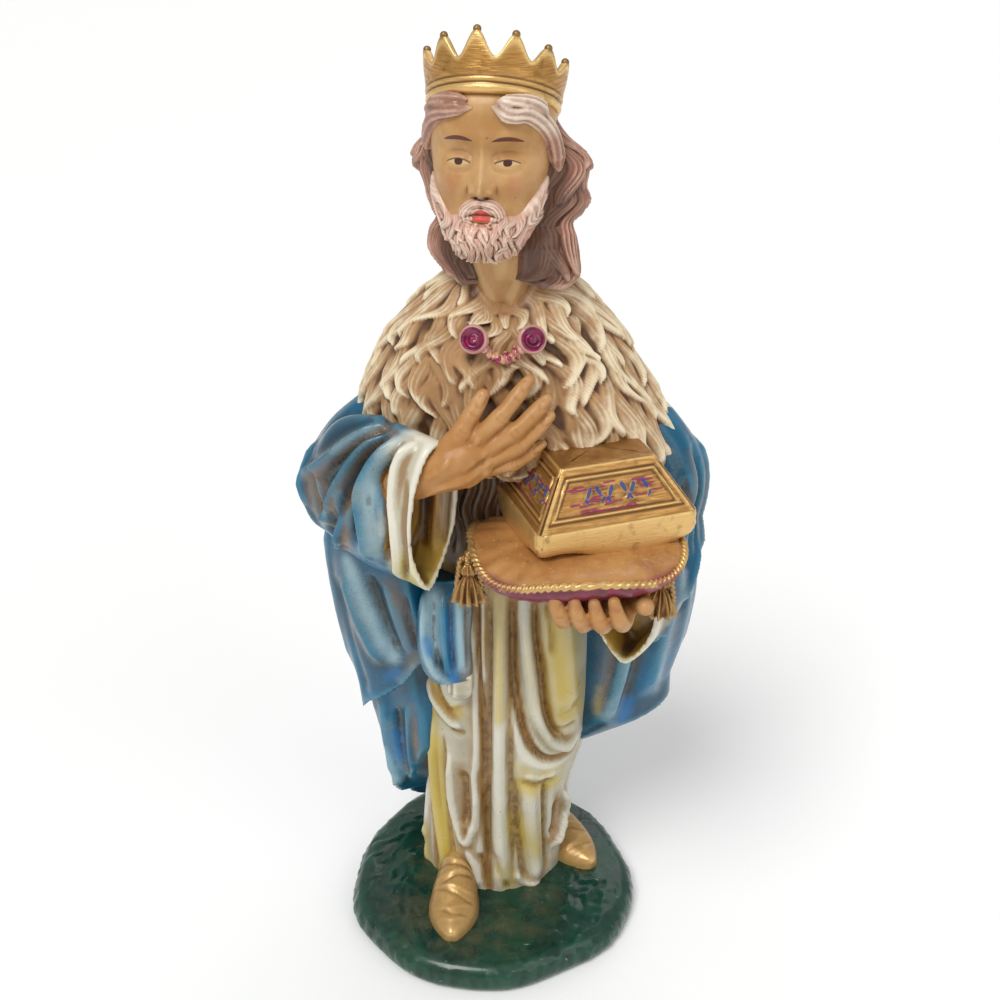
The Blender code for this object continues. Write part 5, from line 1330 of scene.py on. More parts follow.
def ribbed_locks(name, runs, strands, depth, twist=1.2):
    """Locks in the head's own millimetres, each a tapering form with strands running along it."""
    locks = []
    angle = np.linspace(0, 2 * math.pi, 36, endpoint=False)
    for number, run in enumerate(runs):
        path = smooth_path(run, 10 * (len(run) - 1) + 1)
        share = np.linspace(0, 1, len(path))
        ends = np.clip(np.minimum(share, share[::-1]) / 0.16, 0, 1) ** 0.5
        heading = np.gradient(path[:, :3], axis=0)
        heading /= np.linalg.norm(heading, axis=1)[:, None]
        rings = []
        for k, (x, y, z, radius) in enumerate(path):
            aside = np.cross(heading[k], (0.13, 0.21, 1.0) if abs(heading[k][2]) < 0.9 else (1.0, 0.2, 0.1))
            aside /= np.linalg.norm(aside)
            up = np.cross(aside, heading[k])
            turned = angle + twist * k / len(path) + number
            ribs = 1 + depth * np.cos(strands * turned)
            ribs = ribs + 0.4 * depth * np.cos((2 * strands + 3) * turned + number)
            reach = max(radius * ends[k], 0.12) * ribs
            round_path = np.outer(reach * np.cos(angle), aside) + np.outer(reach * np.sin(angle), up)
            rings.append(np.array([x, y, z]) + round_path)
        locks.append(loft(name + "_lock", np.array(rings)))
    return locks


HAIR_REACH = (
    (15, 15.5, 15.5, 17.5), (10, 17.2, 17.2, 19.5), (5.5, 20.0, 18.4, 21), (1.5, 24.5, 21.4, 22),
    (-2.5, 26.2, 21.6, 22), (-7.5, 25.2, 19.0, 20.5), (-11.5, 26.0, 17.6, 19.5), (-16.5, 22.6, 15.6, 18),
    (-20.5, 23.8, 17.2, 18.5), (-26, 24.6, 17.2, 18.5), (-31, 24.4, 12.5, 17), (-34, 21, 9, 14),
)
HAIR_MIDDLE = 2.0
HAIR_BEFORE_EARS = math.radians(34)
HAIR_RELIEF = 0.0034
hair_around, hair_levels = 290, 130
hair_angle = np.sin(np.linspace(-math.pi / 2, math.pi / 2, hair_around))
hair_angle = math.pi / 2 + (math.pi / 2 + HAIR_BEFORE_EARS) * hair_angle
hair_edge = np.minimum(hair_angle - hair_angle[0], hair_angle[-1] - hair_angle)
hair_edge = np.clip(1 - hair_edge / HAIR_BEFORE_EARS, 0, 1)
hair_flat = 1 - hair_edge**6
hair_draw = 1 - 0.54 * (1 - np.sqrt(1 - 0.99 * hair_edge**2))
hair_run = np.hypot(np.diff(hair_draw * np.cos(hair_angle)), np.diff(hair_draw * np.sin(hair_angle)))
hair_run = np.concatenate([[0], np.cumsum(hair_run)]) / hair_run.sum()
hair_down = np.linspace(0, 1, hair_levels)[:, None]
hair_across, hair_down = np.broadcast_arrays(0.03 + 0.94 * hair_run[None, :], hair_down)
hair_locks = lock_rows(21, 4, 14, 1.0, (0.36, 0.55), 0.25)
hair_rise, hair_tip = fur_height(hair_across, hair_down, hair_locks, 2.8, 0.24)
hair_rings = []
for k, (level, left, right, back) in enumerate(smooth_path(HAIR_REACH, hair_levels)):
    c, s = np.cos(hair_angle), np.sin(hair_angle)
    puff = HAIR_RELIEF / UNIT * (hair_rise[k] - 0.5) * hair_flat
    x, y = np.where(c > 0, left, right) * hair_draw * c, np.where(s > 0, back, 15.0) * hair_draw * s
    run_x, run_y = np.gradient(x), np.gradient(y)
    run = np.hypot(run_x, run_y)
    x, y = x + puff * run_y / run, y - puff * run_x / run
    drop = 3.0 * (hair_rise[k] * hair_flat - 0.3) * max(0.0, k / hair_levels - 0.8) * 5
    outer = np.stack([x, y, level - drop], axis=1)
    inner = outer[::-8] * (0.42, 0.42, 1)
    hair_rings.append(np.vstack([outer, inner]) + (0, HAIR_MIDDLE, 0))
hair = loft("hair", hair_rings)
hair.data.transform(head_matrix())
hair.data.shade_smooth()
note_relief(hair, 0.00010, 0.0007, 16)
# Painted shade: the hair darkens down between its locks and along its side edges, as a shadow gap beside the neck.
hair_in_shade = np.maximum(np.clip(1 - hair_rise / 0.4, 0, 1), np.clip(3 * hair_edge - 1.4, 0, 1))
inner_wall = ((0, 0), (0, len(hair_rings[0]) - hair_around))
note_rows(hair, "tip", np.pad(hair_tip, inner_wall))
note_rows(hair, "low", np.pad(hair_in_shade, inner_wall))
fringe = ribbed_locks("fringe", FRINGE_RUNS, strands=8, depth=0.14)
for part in fringe:
    part.data.transform(head_matrix())
fringe = one_skin("fringe", fringe, 0.00042, 0)
note_relief(fringe, 0.00010, 0.0006, 20)
note_even(fringe, ["tip"], 0.3)
for piece in (hair, fringe):
    x, y, z = read_points(piece).T / 0.004
    above_brow = np.clip(z - spot(0, 0, 268).z / 0.004, 0, 1)
    note(piece, "pale", above_brow * np.clip(x, 0, 1) * np.clip(-y, 0, 1))


def cheek_line(far):
    """The level of the beard's upper edge at a distance from the middle of the face."""
    return -11.0 - 3.0 * hump(far, 8.0, 3.4) + 0.16 * np.clip(far - 9, 0, 9) ** 2


beard_rows = smooth_path(HEAD_PROFILE, 250)
beard_rows = beard_rows[beard_rows[:, 0] < -2.0][::-1]
beard_angle = np.linspace(0, 2 * math.pi, 244, endpoint=False)
beard_angle = beard_angle - 0.5 * np.sin(beard_angle) - math.pi / 2
beard_rings = head_form(beard_rows, beard_angle)
bx, bz = beard_rings[:, :, 0], beard_rings[:, :, 2]
bare = 1 / (1 + np.exp((bz - cheek_line(np.abs(bx))) / -0.4))
bare = np.maximum(bare, np.clip(1.6 - (bx / 4.0) ** 2 - ((bz + 13.4) / 2.4) ** 2, 0, 1))
beard_across = 0.5 + 0.5 * bx / (17.5 - 0.42 * np.clip(-9 - bz, 0, 16))
beard_down = (cheek_line(np.abs(bx)) - bz) / 15
chin_locks = lock_rows(5, 5, 15, 1.0, (0.36, 0.55), 0.20)
beard_locks, beard_tip = fur_height(beard_across, beard_down, chin_locks, 2.0, 0.22)
jaw_hair = (0.8 + 1.2 * hump(bx, 0, 6) * hump(bz, -21, 5) + 1.5 * beard_locks) * (1 - bare)
round_mouth = np.hypot(bx / 1.2, bz + 13.8)
lip_hair = hump(round_mouth, 3.7, 1.25) * np.clip((bz + 16.5) / 3, 0, 1)
lip_strands = 0.5 + 0.5 * np.cos(2 * math.pi * round_mouth / 0.72 + 1.1 * np.sin(1.3 * bx))
lip_hair = lip_hair * (1.9 + 0.45 * lip_strands)
beard_grows = np.maximum(jaw_hair, lip_hair) * (beard_rings[:, :, 1] < 2)
way = np.stack([np.cos(beard_angle), np.sin(beard_angle)], axis=1)[None, :, :]
beard_rings[:, :, :2] += way * (beard_grows - 0.8 * np.clip(1 - beard_grows / 0.5, 0, 1))[:, :, None]
beard_rings[:, :, 2] -= 0.5 * np.clip(-22 - bz, 0, 3) * beard_locks
beard = loft("beard", beard_rings)
beard.data.transform(head_matrix())
beard.data.shade_smooth()
note_relief(beard, 0.00008, 0.0005, 16)
note_rows(beard, "tip", np.maximum(beard_tip, 0.6 * lip_strands * (lip_hair > jaw_hair)))
note_even(beard, ["pale"], 0.4)


def strand_paint(brown, rose, light, where_light):
    """The paint of hair that is brown in its depths and rose and pale on its crests, with painted shade in the
    depths and between the locks and painted highlight on the crests.
    """
    def paint_strands(paint):
        lock = paint.blotted(brown, rose, 0.009, 2.0)
        patches = paint.cloud(0.005, 2.0) - where_light
        crest = paint.noted("proud") * 0.8 + paint.noted("tip") * 0.6 + patches * 1.2
        lock = crest.between(0.15, 1.0).over(lock, light)
        lock = (paint.noted("pale") * (0.35 + paint.noted("proud"))).clear().over(lock, tint(232, 214, 194))
        lock = paint.washed(lock, ("deep", 0.06, 0.6, 0.95, tint(94, 58, 40)))
        return (shade_between_locks(paint, 0.8) * 0.8).over(lock, tint(74, 46, 30))
    return paint_strands


hair_paint = strand_paint(tint(146, 104, 82), tint(158, 110, 92), tint(204, 164, 144), 0.5)
hair_wash = paint_surface("hair_wash", hair_paint, satin_roughness, lacquer_grain, gloss=0.35)
beard_paint = strand_paint(tint(178, 132, 108), tint(200, 144, 124), tint(236, 210, 190), 0.42)
beard_wash = paint_surface("beard_wash", beard_paint, satin_roughness, lacquer_grain, gloss=0.35)
for piece, wash in ((hair, hair_wash), (fringe, hair_wash), (beard, beard_wash)):
    hand_over(piece, wash)


# The crown: a flared band cut into knobbed points, with two grooves above its lower edge, cast with the head
# and painted in brushed gold, darker in the grooves from wear and painted shade, with painted highlight on the
# raised parts.
CROWN_BAND_RADIUS = 0.0174
CROWN_TOP_RADIUS = 0.0192
CROWN_BAND_HEIGHT = 0.0090
CROWN_POINT_HEIGHT = 0.0036
CROWN_FRONT_POINT_HEIGHT = 0.0064
CROWN_KNOB_RADIUS = 0.0011
CROWN_WALL = 0.0022
CROWN_POINTS = 12
CROWN_SPOT = (0.0, -0.5, 11.9)
CROWN_LEAN = math.radians(-20)
CROWN_TURN = math.radians(-7)


def crown_rise(angle):
    """The height of the crown's wavy upper edge, whose points grow towards the front."""
    wave = 0.5 + 0.5 * math.cos(CROWN_POINTS * (angle + math.pi / 2))
    in_front = max(0.0, -math.sin(angle)) ** 2
    point = CROWN_POINT_HEIGHT + (CROWN_FRONT_POINT_HEIGHT - CROWN_POINT_HEIGHT) * in_front
    return CROWN_BAND_HEIGHT + point * wave


def crown_radius(height):
    return CROWN_BAND_RADIUS + (CROWN_TOP_RADIUS - CROWN_BAND_RADIUS) * height / CROWN_BAND_HEIGHT


def wrapped_faces(rows, columns):
    """The faces of a surface that closes on itself both ways, through rows of points."""
    faces = []
    for k in range(rows):
        for j in range(columns):
            a, b = k * columns + j, k * columns + (j + 1) % columns
            after = (k + 1) % rows * columns
            faces.append((a, b, after + (j + 1) % columns, after + j))
    return faces


crown_around = CROWN_POINTS * 30
bead = CROWN_BAND_HEIGHT * 0.13
# The moulded foot of the band: how high each point lies and how far it swells out, in beads.
CROWN_FOOT = ((0.0, -0.35), (0.25, 0.2), (0.9, 0.5), (1.7, 0.3), (2.2, -0.3), (2.6, 0.25), (3.1, 0.3),
              (3.5, -0.2), (4.0, 0.1))
crown_rings = []
for k in range(crown_around):
    angle = 2 * math.pi * k / crown_around
    rise = crown_rise(angle)
    section = [(crown_radius(step * bead) + swell * bead, step * bead) for step, swell in CROWN_FOOT]
    for share in (0.12, 0.25, 0.4, 0.55, 0.7, 0.84, 0.95):
        height = 4 * bead + (rise - 4 * bead) * share
        section.append((crown_radius(height), height))
    section += [(crown_radius(rise) - 0.25 * CROWN_WALL, rise), (crown_radius(rise) - 0.8 * CROWN_WALL, rise)]
    for share in (0.9, 0.7, 0.5, 0.3, 0.1, 0.0):
        section.append((crown_radius(rise * share) - CROWN_WALL, rise * share))
    crown_rings.append([(r * math.cos(angle), r * math.sin(angle), h) for r, h in section])
crown_faces = wrapped_faces(crown_around, len(crown_rings[0]))
crown_parts = [mesh_piece("crown", [p for ring in crown_rings for p in ring], crown_faces)]
knob_places = []
for k in range(CROWN_POINTS):
    angle = 2 * math.pi * k / CROWN_POINTS - math.pi / 2
    rise = crown_rise(angle)
    radius = crown_radius(rise) - CROWN_WALL / 2
    knob_places.append(Vector((radius * math.cos(angle), radius * math.sin(angle), rise)))
    bpy.ops.mesh.primitive_uv_sphere_add(segments=16, ring_count=10, radius=CROWN_KNOB_RADIUS)
    bpy.context.object.data.transform(Matrix.Translation(knob_places[-1]))
    crown_parts.append(bpy.context.object)
crown_seat = head_matrix() @ Matrix.Translation(Vector(CROWN_SPOT)) @ Matrix.Rotation(CROWN_LEAN, 4, "X")
crown_seat = crown_seat @ Matrix.Rotation(CROWN_TURN, 4, "Z") @ Matrix.Scale(1 / UNIT, 4)
for part in crown_parts:
    turn_outwards(part)
    part.data.transform(crown_seat)
crown = joined("crown", crown_parts)
crown.data.shade_smooth()
note_relief(crown, 0.00006, 0.0004, 14)
from_knobs = [np.linalg.norm(read_points(crown) - np.array(crown_seat @ place), axis=1)
              for place in knob_places]
note(crown, "knob", (np.min(from_knobs, axis=0) < 1.25 * CROWN_KNOB_RADIUS).astype(float))

GOLD = tint(192, 146, 80)
GOLD_LIGHT = tint(236, 198, 130)
GOLD_DARK = tint(88, 54, 24)
BRUSHED = (0.25, 0.25, 3.0)


def gold_paint(paint):
    gold = paint.cloud(0.0016, 3.0, BRUSHED).between(0.35, 0.65).over(GOLD, tint(166, 118, 60))
    # Painted highlight on the raised parts; the grooves darkened by wear and painted shade.
    gold = paint.washed(gold, ("proud", 0.1, 0.8, 0.8, GOLD_LIGHT), ("deep", 0.1, 0.7, 0.9, GOLD_DARK))
    grime = paint.cloud(0.005, 4.0).between(0.55, 0.72)
    gold = (grime * 0.5).over(gold, tint(112, 74, 34))
    return (paint.noted("knob") * 0.75).over(gold, tint(104, 68, 36))


gold_roughness = mottled(0.0016, 0.30, 0.46, 3.0, BRUSHED)


def gold_sheen(paint):
    return paint.noted("deep").between(0.1, 0.6, 0.72, 0.15)


def brushed_grain(paint):
    return paint.cloud(0.0010, 3.0, (0.3, 0.3, 3.0))


brushed_gold = paint_surface("brushed_gold", gold_paint, gold_roughness, brushed_grain, gold_sheen,
                             gloss=0.15, tilt=0.35)
hand_over(crown, brushed_gold)


# The hands: the right one laid on the breast with its fingers apart, the left one under the cushion with its
# fingers curled up over the edge. Knuckles, creases and nails are cut in, and a brown wash with painted shade
# lies between.
def finger(base, middle, tip, radius):
    """A finger from its knuckle, through its middle, to its tip, swelling a little at each joint."""
    places = smooth_path((base, middle, tip), 41)
    swell = ((0.0, 1.10), (0.22, 0.94), (0.44, 1.02), (0.60, 0.88), (0.74, 0.90), (0.90, 0.80), (1.0, 0.66))
    return [(*places[int(round(share * 40))], radius * size) for share, size in swell]


right_fingers = (
    ((-12, -26, 185), (-7.6, -25.6, 193), (-1.6, -21.4, 201.8), 2.9),
    ((-3.5, -25.6, 190.5), (3.4, -24.4, 197), (11, -19.6, 205.4), 2.6),
    ((-1.5, -25.8, 187), (7.4, -25, 192.6), (16, -20.6, 200), 2.6),
    ((-0.5, -25.4, 183.8), (8.4, -24.8, 188), (17, -20.8, 195.2), 2.5),
    ((-0.5, -24.4, 180.6), (7.4, -24.4, 182.6), (14.8, -21.6, 186.8), 2.3),
)
right_runs = [[(-28, -18, 173, 6.3), (-21, -24, 177, 5.8), (-15, -25.8, 181.4, 5.6), (-9, -25.6, 184.6, 5.6),
               (-3, -23.6, 188, 4.8)],
              [(-18, -25.5, 178, 5.2), (-12, -25.8, 179.4, 5.0), (-6, -25.6, 180.7, 4.6),
               (0, -23.4, 183.5, 3.8)],
              [(-16, -25, 181, 4.4), (-12.6, -25.8, 186, 3.6), (-10, -25.8, 190, 3.0)]]
right_runs += [finger(*row) for row in right_fingers]
right_hand = one_skin("right_hand", [tubes("right_hand_form", right_runs, sides=8)], 0.0006)
knuckles = []
for base, middle, tip, radius in right_fingers:
    (bx, _, bz), (mx, _, mz), (tx, _, tz) = base, middle, tip
    knuckles.append((((bx - 0.8, bz + 0.5), (bx + 0.8, bz - 0.5)), 1.5, 0.5))
    knuckles.append((((bx - 6, bz - 4.6), (bx - 2, bz - 1.6)), 0.9, 0.35))
    for share, cut in ((0.46, -0.28), (0.53, -0.28), (0.76, -0.24)):
        x, z = bx + (tx - bx) * share, bz + (tz - bz) * share
        if share < 0.6:
            x, z = x + (mx - (bx + tx) / 2) * 0.9, z + (mz - (bz + tz) / 2) * 0.9
        lean = math.atan2(tz - bz, tx - bx) + math.pi / 2
        run_x, run_z = 1.6 * math.cos(lean), 1.6 * math.sin(lean)
        knuckles.append((((x - run_x, z - run_z), (x + run_x, z + run_z)), 0.35, cut))
    lean = math.atan2(tz - mz, tx - mx)
    c, s = math.cos(lean), math.sin(lean)
    nail = []
    for turn in np.linspace(0.4, 5.9, 9):
        long, wide = 1.9 * math.cos(turn), 1.25 * math.sin(turn)
        nail.append((tx + (long - 0.6) * c - wide * s, tz + (long - 0.6) * s + wide * c))
    knuckles.append((nail, 0.32, -0.4))
knuckles += [(((-24, 181), (-17, 186)), 1.2, 0.5), (((-21, 172), (-14, 177), (-6, 179)), 1.0, 0.5),
             (((-27, 184), (-25.6, 178), (-24, 172)), 0.8, -0.4)]
carve(right_hand, front(*knuckles))
note_relief(right_hand, 0.00008, 0.0006, 24)

LEFT_FINGERS = ((19.5, 0.2), (25.0, 1.4), (30.5, 1.8), (36.0, 1.3))
left_runs = [[(52, -6, 148, 6.5), (44, -20, 146.6, 6.4), (36, -28, 147.4, 5.8), (28, -30, 147.6, 4.6)]]
for x, drop in LEFT_FINGERS:
    left_runs.append([(x + 5.6, -34, 147, 2.8), (x + 3.4, -39.5, 144.4 - drop, 2.6),
                      (x + 1.8, -44.6, 143.2 - drop, 2.5), (x + 0.6, -47.6, 145.6 - drop, 2.35),
                      (x - 0.6, -48.2, 149 - drop, 2.15), (x - 1.5, -48.0, 152.4 - drop, 1.8)])
left_runs.append([(41, -32, 147, 3.2), (43, -41, 146.5, 3.0), (43.5, -45.5, 148, 2.6)])
left_hand = one_skin("left_hand", [tubes("left_hand_form", left_runs, sides=8)], 0.0006)
creases = []
for x, drop in LEFT_FINGERS:
    for level in (143.6, 147.6):
        creases.append((((x - 1.2, level - drop), (x + 1.6, level - drop)), 0.4, -0.3))
    creases.append((((x - 1.4, 151.6 - drop), (x - 0.6, 150 - drop), (x + 0.4, 151.6 - drop)), 0.3, -0.35))
carve(left_hand, front(*creases))
note_relief(left_hand, 0.00008, 0.0006, 24)
for hand in (right_hand, left_hand):
    note_even(hand, (*FACE_TOUCHES, "shade"))
spray(left_hand, "plum", front((((20, 151), (27, 150.4), (34, 150)), 1.0, 0.6)))
note_even(right_hand, ["plum"])


def hand_paint(paint):
    ochre = paint.cloud(0.008, 2.0).between(0.2, 0.8, 0.35, 0.7).over(skin_paint(paint), tint(168, 108, 46))
    return (speckled(paint, "plum", 0.001) * 0.6).over(ochre, tint(140, 66, 58))


hand_lacquer = paint_surface("hand_lacquer", hand_paint, dull_roughness, lacquer_grain, gloss=0.15)
for hand in (right_hand, left_hand):
    hand_over(hand, hand_lacquer)


# The cushion: a flat pillow in tan gold above and plum below, edged with a twisted gold rope and hung with a
# tassel at each front corner.
CUSHION_LENGTH = 0.060
CUSHION_WIDTH = 0.050
CUSHION_RISE = 0.0039
CUSHION_BELLY = 0.0085
CUSHION_SPOT = (25.0, -25.0, 156.5)
CUSHION_TURN = math.radians(8)
ROPE_RADIUS = 0.0011
ROPE_TWISTS = 46


def cushion_edge(angle):
    """The seam's place about the cushion's middle."""
    c, s = math.cos(angle), math.sin(angle)
    x = CUSHION_LENGTH / 2 * math.copysign(abs(c) ** 0.72, c)
    y = CUSHION_WIDTH / 2 * math.copysign(abs(s) ** 0.72, s)
    lift = CUSHION_RISE / 3 * math.cos(4 * angle + 0.5)
    return Matrix.Rotation(CUSHION_TURN, 3, "Z") @ Vector((x, y, lift))


cushion_middle = spot(*CUSHION_SPOT)
cushion_rings = []
for share in np.sin(np.linspace(-1.45, 1.45, 48)):
    reach = math.sqrt(max(1 - share**2, 0)) ** (0.6 if share > 0 else 0.36)
    swell = share * (CUSHION_RISE if share > 0 else CUSHION_BELLY)
    ring = []
    for angle in np.linspace(0, 2 * math.pi, 150, endpoint=False):
        edge = cushion_edge(angle)
        pinch = 0.0004 * math.cos(23 * angle) * abs(share) * (1 - abs(share)) * 2
        ring.append(cushion_middle + Vector((edge.x * reach, edge.y * reach,
                                             edge.z * (1 - abs(share)) + swell + pinch)))
    cushion_rings.append([tuple(p) for p in ring])
cushion = loft("cushion", cushion_rings)
cushion.data.shade_smooth()
note_relief(cushion)
note(cushion, "under", np.clip((cushion_middle.z + 0.0010 - read_points(cushion)[:, 2]) / 0.0016, 0, 1))


def cushion_paint(paint):
    cloth = paint.blotted(tint(182, 132, 78), tint(156, 104, 56), 0.010)
    cloth = (paint.cloud(0.0009, 2.0).between(0.62, 0.72) * 0.5).over(cloth, tint(216, 170, 110))
    cloth = (paint.cloud(0.0035, 3.0).between(0.66, 0.76) * 0.6).over(cloth, tint(108, 66, 34))
    plum = paint.blotted(tint(140, 40, 72), tint(106, 30, 48), 0.006, low=0.35, high=0.65)
    return paint.noted("under").over(cloth, plum)


cushion_lacquer = paint_surface("cushion_lacquer", cushion_paint, satin_roughness, lacquer_grain, gloss=0.4)
hand_over(cushion, cushion_lacquer)


def rope(name, path, closed, radius, twists):
    """A two-strand rope along a path of points in metres."""
    path = np.array([tuple(p) for p in path])
    if closed:
        heading = np.roll(path, -1, axis=0) - np.roll(path, 1, axis=0)
    else:
        heading = np.gradient(path, axis=0)
    heading /= np.linalg.norm(heading, axis=1)[:, None]
    sides = 12
    angle = np.linspace(0, 2 * math.pi, sides, endpoint=False)
    rings = []
    for k, (place, along) in enumerate(zip(path, heading)):
        aside = np.cross(along, (0.05, 0.02, 1.0))
        aside /= np.linalg.norm(aside)
        up = np.cross(aside, along)
        reach = radius * (1 + 0.22 * np.cos(2 * (angle - math.pi * twists * k / len(path))))
        rings.append(place + np.outer(reach * np.cos(angle), aside) + np.outer(reach * np.sin(angle), up))
    rings = np.array(rings)
    if not closed:
        return loft(name, rings)
    piece = mesh_piece(name, rings.reshape(-1, 3), wrapped_faces(len(path), sides))
    turn_outwards(piece)
    return piece


rope_path = [cushion_middle + cushion_edge(2 * math.pi * k / 1000) * 1.008 for k in range(1000)]
cushion_rope = rope("cushion_rope", rope_path, True, ROPE_RADIUS, ROPE_TWISTS * 2)
cushion_rope.data.shade_smooth()
note_relief(cushion_rope, 0.00008, 0.0004, 10)
note_even(cushion_rope, ["knob"], 0.25)
below_seam = cushion_middle.z + 0.0004 - read_points(cushion_rope)[:, 2]
note(cushion_rope, "under", np.clip(below_seam / 0.0016, 0, 1))


def rope_paint(paint):
    gold = gold_paint(paint)
    stain = paint.noted("under") * paint.cloud(0.006, 2.0).between(0.3, 0.55)
    return (stain * 0.9).over(gold, tint(134, 46, 72))


rope_gold = paint_surface("rope_gold", rope_paint, gold_roughness, brushed_grain, gold_sheen, gloss=0.2,
                          tilt=0.3)
hand_over(cushion_rope, rope_gold)

# How far up each level of a tassel lies, how far it reaches out and how deep its threads are cut.
TASSEL_SECTIONS = ((2.6, 0.9, 0.0), (1.2, 1.2, 0.0), (0.6, 2.0, 0.05), (-0.6, 2.7, 0.08), (-2.0, 2.6, 0.08),
                   (-3.0, 1.7, 0.05), (-3.6, 1.9, 0.12), (-5.2, 2.8, 0.16), (-7.6, 3.5, 0.20),
                   (-10.0, 4.0, 0.24), (-11.4, 4.0, 0.28), (-11.9, 2.6, 0.2))
TASSEL_SPOTS = ((-6.0, -28, 151), (49.0, -35, 151))
tassel_parts = []
for number, (x, y, z) in enumerate(TASSEL_SPOTS):
    inward = 6 if x < CUSHION_SPOT[0] else -6
    rings = []
    for drop, reach, ribs in smooth_path(TASSEL_SECTIONS, 48):
        angle = np.linspace(0, 2 * math.pi, 96, endpoint=False)
        threads = 1 + ribs * np.cos(11 * angle + 0.12 * drop + number)
        threads = threads + 0.5 * ribs * np.cos(19 * angle - 0.2 * drop)
        sag = 0.3 * ribs * np.cos(5 * angle) if drop < -10 else 0
        rings.append(np.stack([x + reach * threads * np.cos(angle), y + reach * threads * np.sin(angle),
                               np.full(96, z + drop) + sag], axis=1))
    tassel_parts.append(loft("tassel", spots(rings)))
    cord_path = smooth_path(((x + inward, y + 5, z + 6), (x + 0.3 * inward, y + 2, z + 5.6), (x, y, z + 3.4),
                             (x, y, z + 0.6)), 60)
    tassel_parts.append(rope("tassel_cord", spots(cord_path), False, 0.0013, 7))
    for lobe in (-1, 1):
        loop = smooth_path(((x, y, z + 3), (x + 2.4 * lobe, y - 0.6, z + 2.2),
                            (x + 3.0 * lobe, y - 0.6, z - 2.0),
                            (x + 3.6 * lobe, y - 0.4, z - 7.0), (x + 3.0 * lobe, y - 0.4, z - 10.4)), 70)
        tassel_parts.append(rope("tassel_strand", spots(loop), False, 0.0008, 12))
tassels = joined("tassels", tassel_parts)
tassels.data.shade_smooth()
note_relief(tassels, 0.00008, 0.0005, 14)
note_even(tassels, ["knob"], 0.7)
hand_over(tassels, brushed_gold)


# The casket: the gift, a gold box with a heavy rim that sags on the cushion, sloping sides with framed panels
# of rough ground picked out in plum and blue, and a plain flat top.
CASKET_LENGTH = 0.049
CASKET_WIDTH = 0.040
CASKET_RIM_HEIGHT = 0.0085
CASKET_LID_RISE = 0.0145
CASKET_TOP_LENGTH = 0.029
CASKET_TOP_WIDTH = 0.021
CASKET_SPOT = (30.0, -16.5)
CASKET_TURN = math.radians(19)
RIM_CORNER = 0.0032
LID_CORNER = 0.0012
LID_FOOT = 0.975
FRAME_INSET = 0.0024
FRAME_GROOVE = 0.00035
# Each line of a panel's frame: how far in from the edge, its rise or cut, and its width.
FRAME_LINES = ((FRAME_INSET, -0.0006, FRAME_GROOVE), (FRAME_INSET + 0.0007, 0.00025, 0.0003),
               (FRAME_INSET + 0.0014, -0.0005, FRAME_GROOVE))
SIDE_POINTS = 70
SIDE_WAYS = ((0, -1), (1, 0), (0, 1), (-1, 0))
SAG = 0.0021
SAG_STARTS = (0.9, 2.2, 0.4, 1.7)
RIM_ROWS = ((0.95, -0.0012), (0.985, -0.0004), (1.0, 0.0012), (1.012, 0.0032), (1.004, 0.0050),
            (1.008, 0.0068),
            (1.0, 0.0080), (0.985, CASKET_RIM_HEIGHT))
TOP_ROWS = ((0.96, 0.00025), (0.90, 0.0004), (0.7, 0.0005), (0.4, 0.0005), (0.1, 0.0005))

casket_dice = random.Random(4)
panel_strokes = []
for side in range(4):
    for _ in range(46):
        at = casket_dice.uniform(-13, 13)
        plum = casket_dice.random() < (0.85 if at < -2 else 0.25)
        level, lean = casket_dice.uniform(4.6, 12.6), casket_dice.uniform(-0.05, 0.05)
        long, lift = casket_dice.uniform(1.0, 3.0), casket_dice.uniform(0.14, 0.36)
        panel_strokes.append((side, "plum" if plum else "", at, level, lean, long, 0.30, lift))
    for k in range(6):
        at = -7.5 + 3.4 * k + casket_dice.uniform(-0.5, 0.5)
        lean = 1.2 if k % 2 else -1.2
        panel_strokes.append((side, "blue", at, 9.6 + 0.5 * (k % 2), math.pi / 2 + 0.35 * lean, 1.8, 0.62,
                              0.4))
        panel_strokes.append((side, "blue", at + 0.8 * lean, 7.2, math.pi / 2 - 0.4 * lean, 1.2, 0.42, 0.3))
    panel_strokes.append((side, "plum", -2, 4.3, 0.0, 10, 0.30, 0.1))


def casket_panel(side, along, up, half, slope):
    """The relief on a sloping side, and its plum and blue, at a place along it and up it in metres."""
    edge = min(half - abs(along), up, slope - up)
    rise = 0.0
    for place, depth, wide in FRAME_LINES:
        rise += depth * math.exp(-(((edge - place) / wide) ** 2))
    inside = min(max((edge - FRAME_INSET - 0.0014) / 0.0003, 0.0), 1.0)
    rise -= 0.0004 * inside
    colours = {"plum": 0.0, "blue": 0.0, "": 0.0}
    for on, colour, at, level, lean, long, wide, lift in panel_strokes:
        if on != side or abs(along * 1000 - at) > 3 * long:
            continue
        dx, dy = along * 1000 - at, up * 1000 - level
        run = (dx * math.cos(lean) + dy * math.sin(lean)) / long
        cross = (dy * math.cos(lean) - dx * math.sin(lean)) / wide
        if abs(run) < 1.6 and abs(cross) < 2.6:
            weight = math.exp(-(run**4) - cross**2)
            rise += 0.001 * lift * weight * inside
            colours[colour] = max(colours[colour], weight)
    return rise, colours["plum"], colours["blue"]


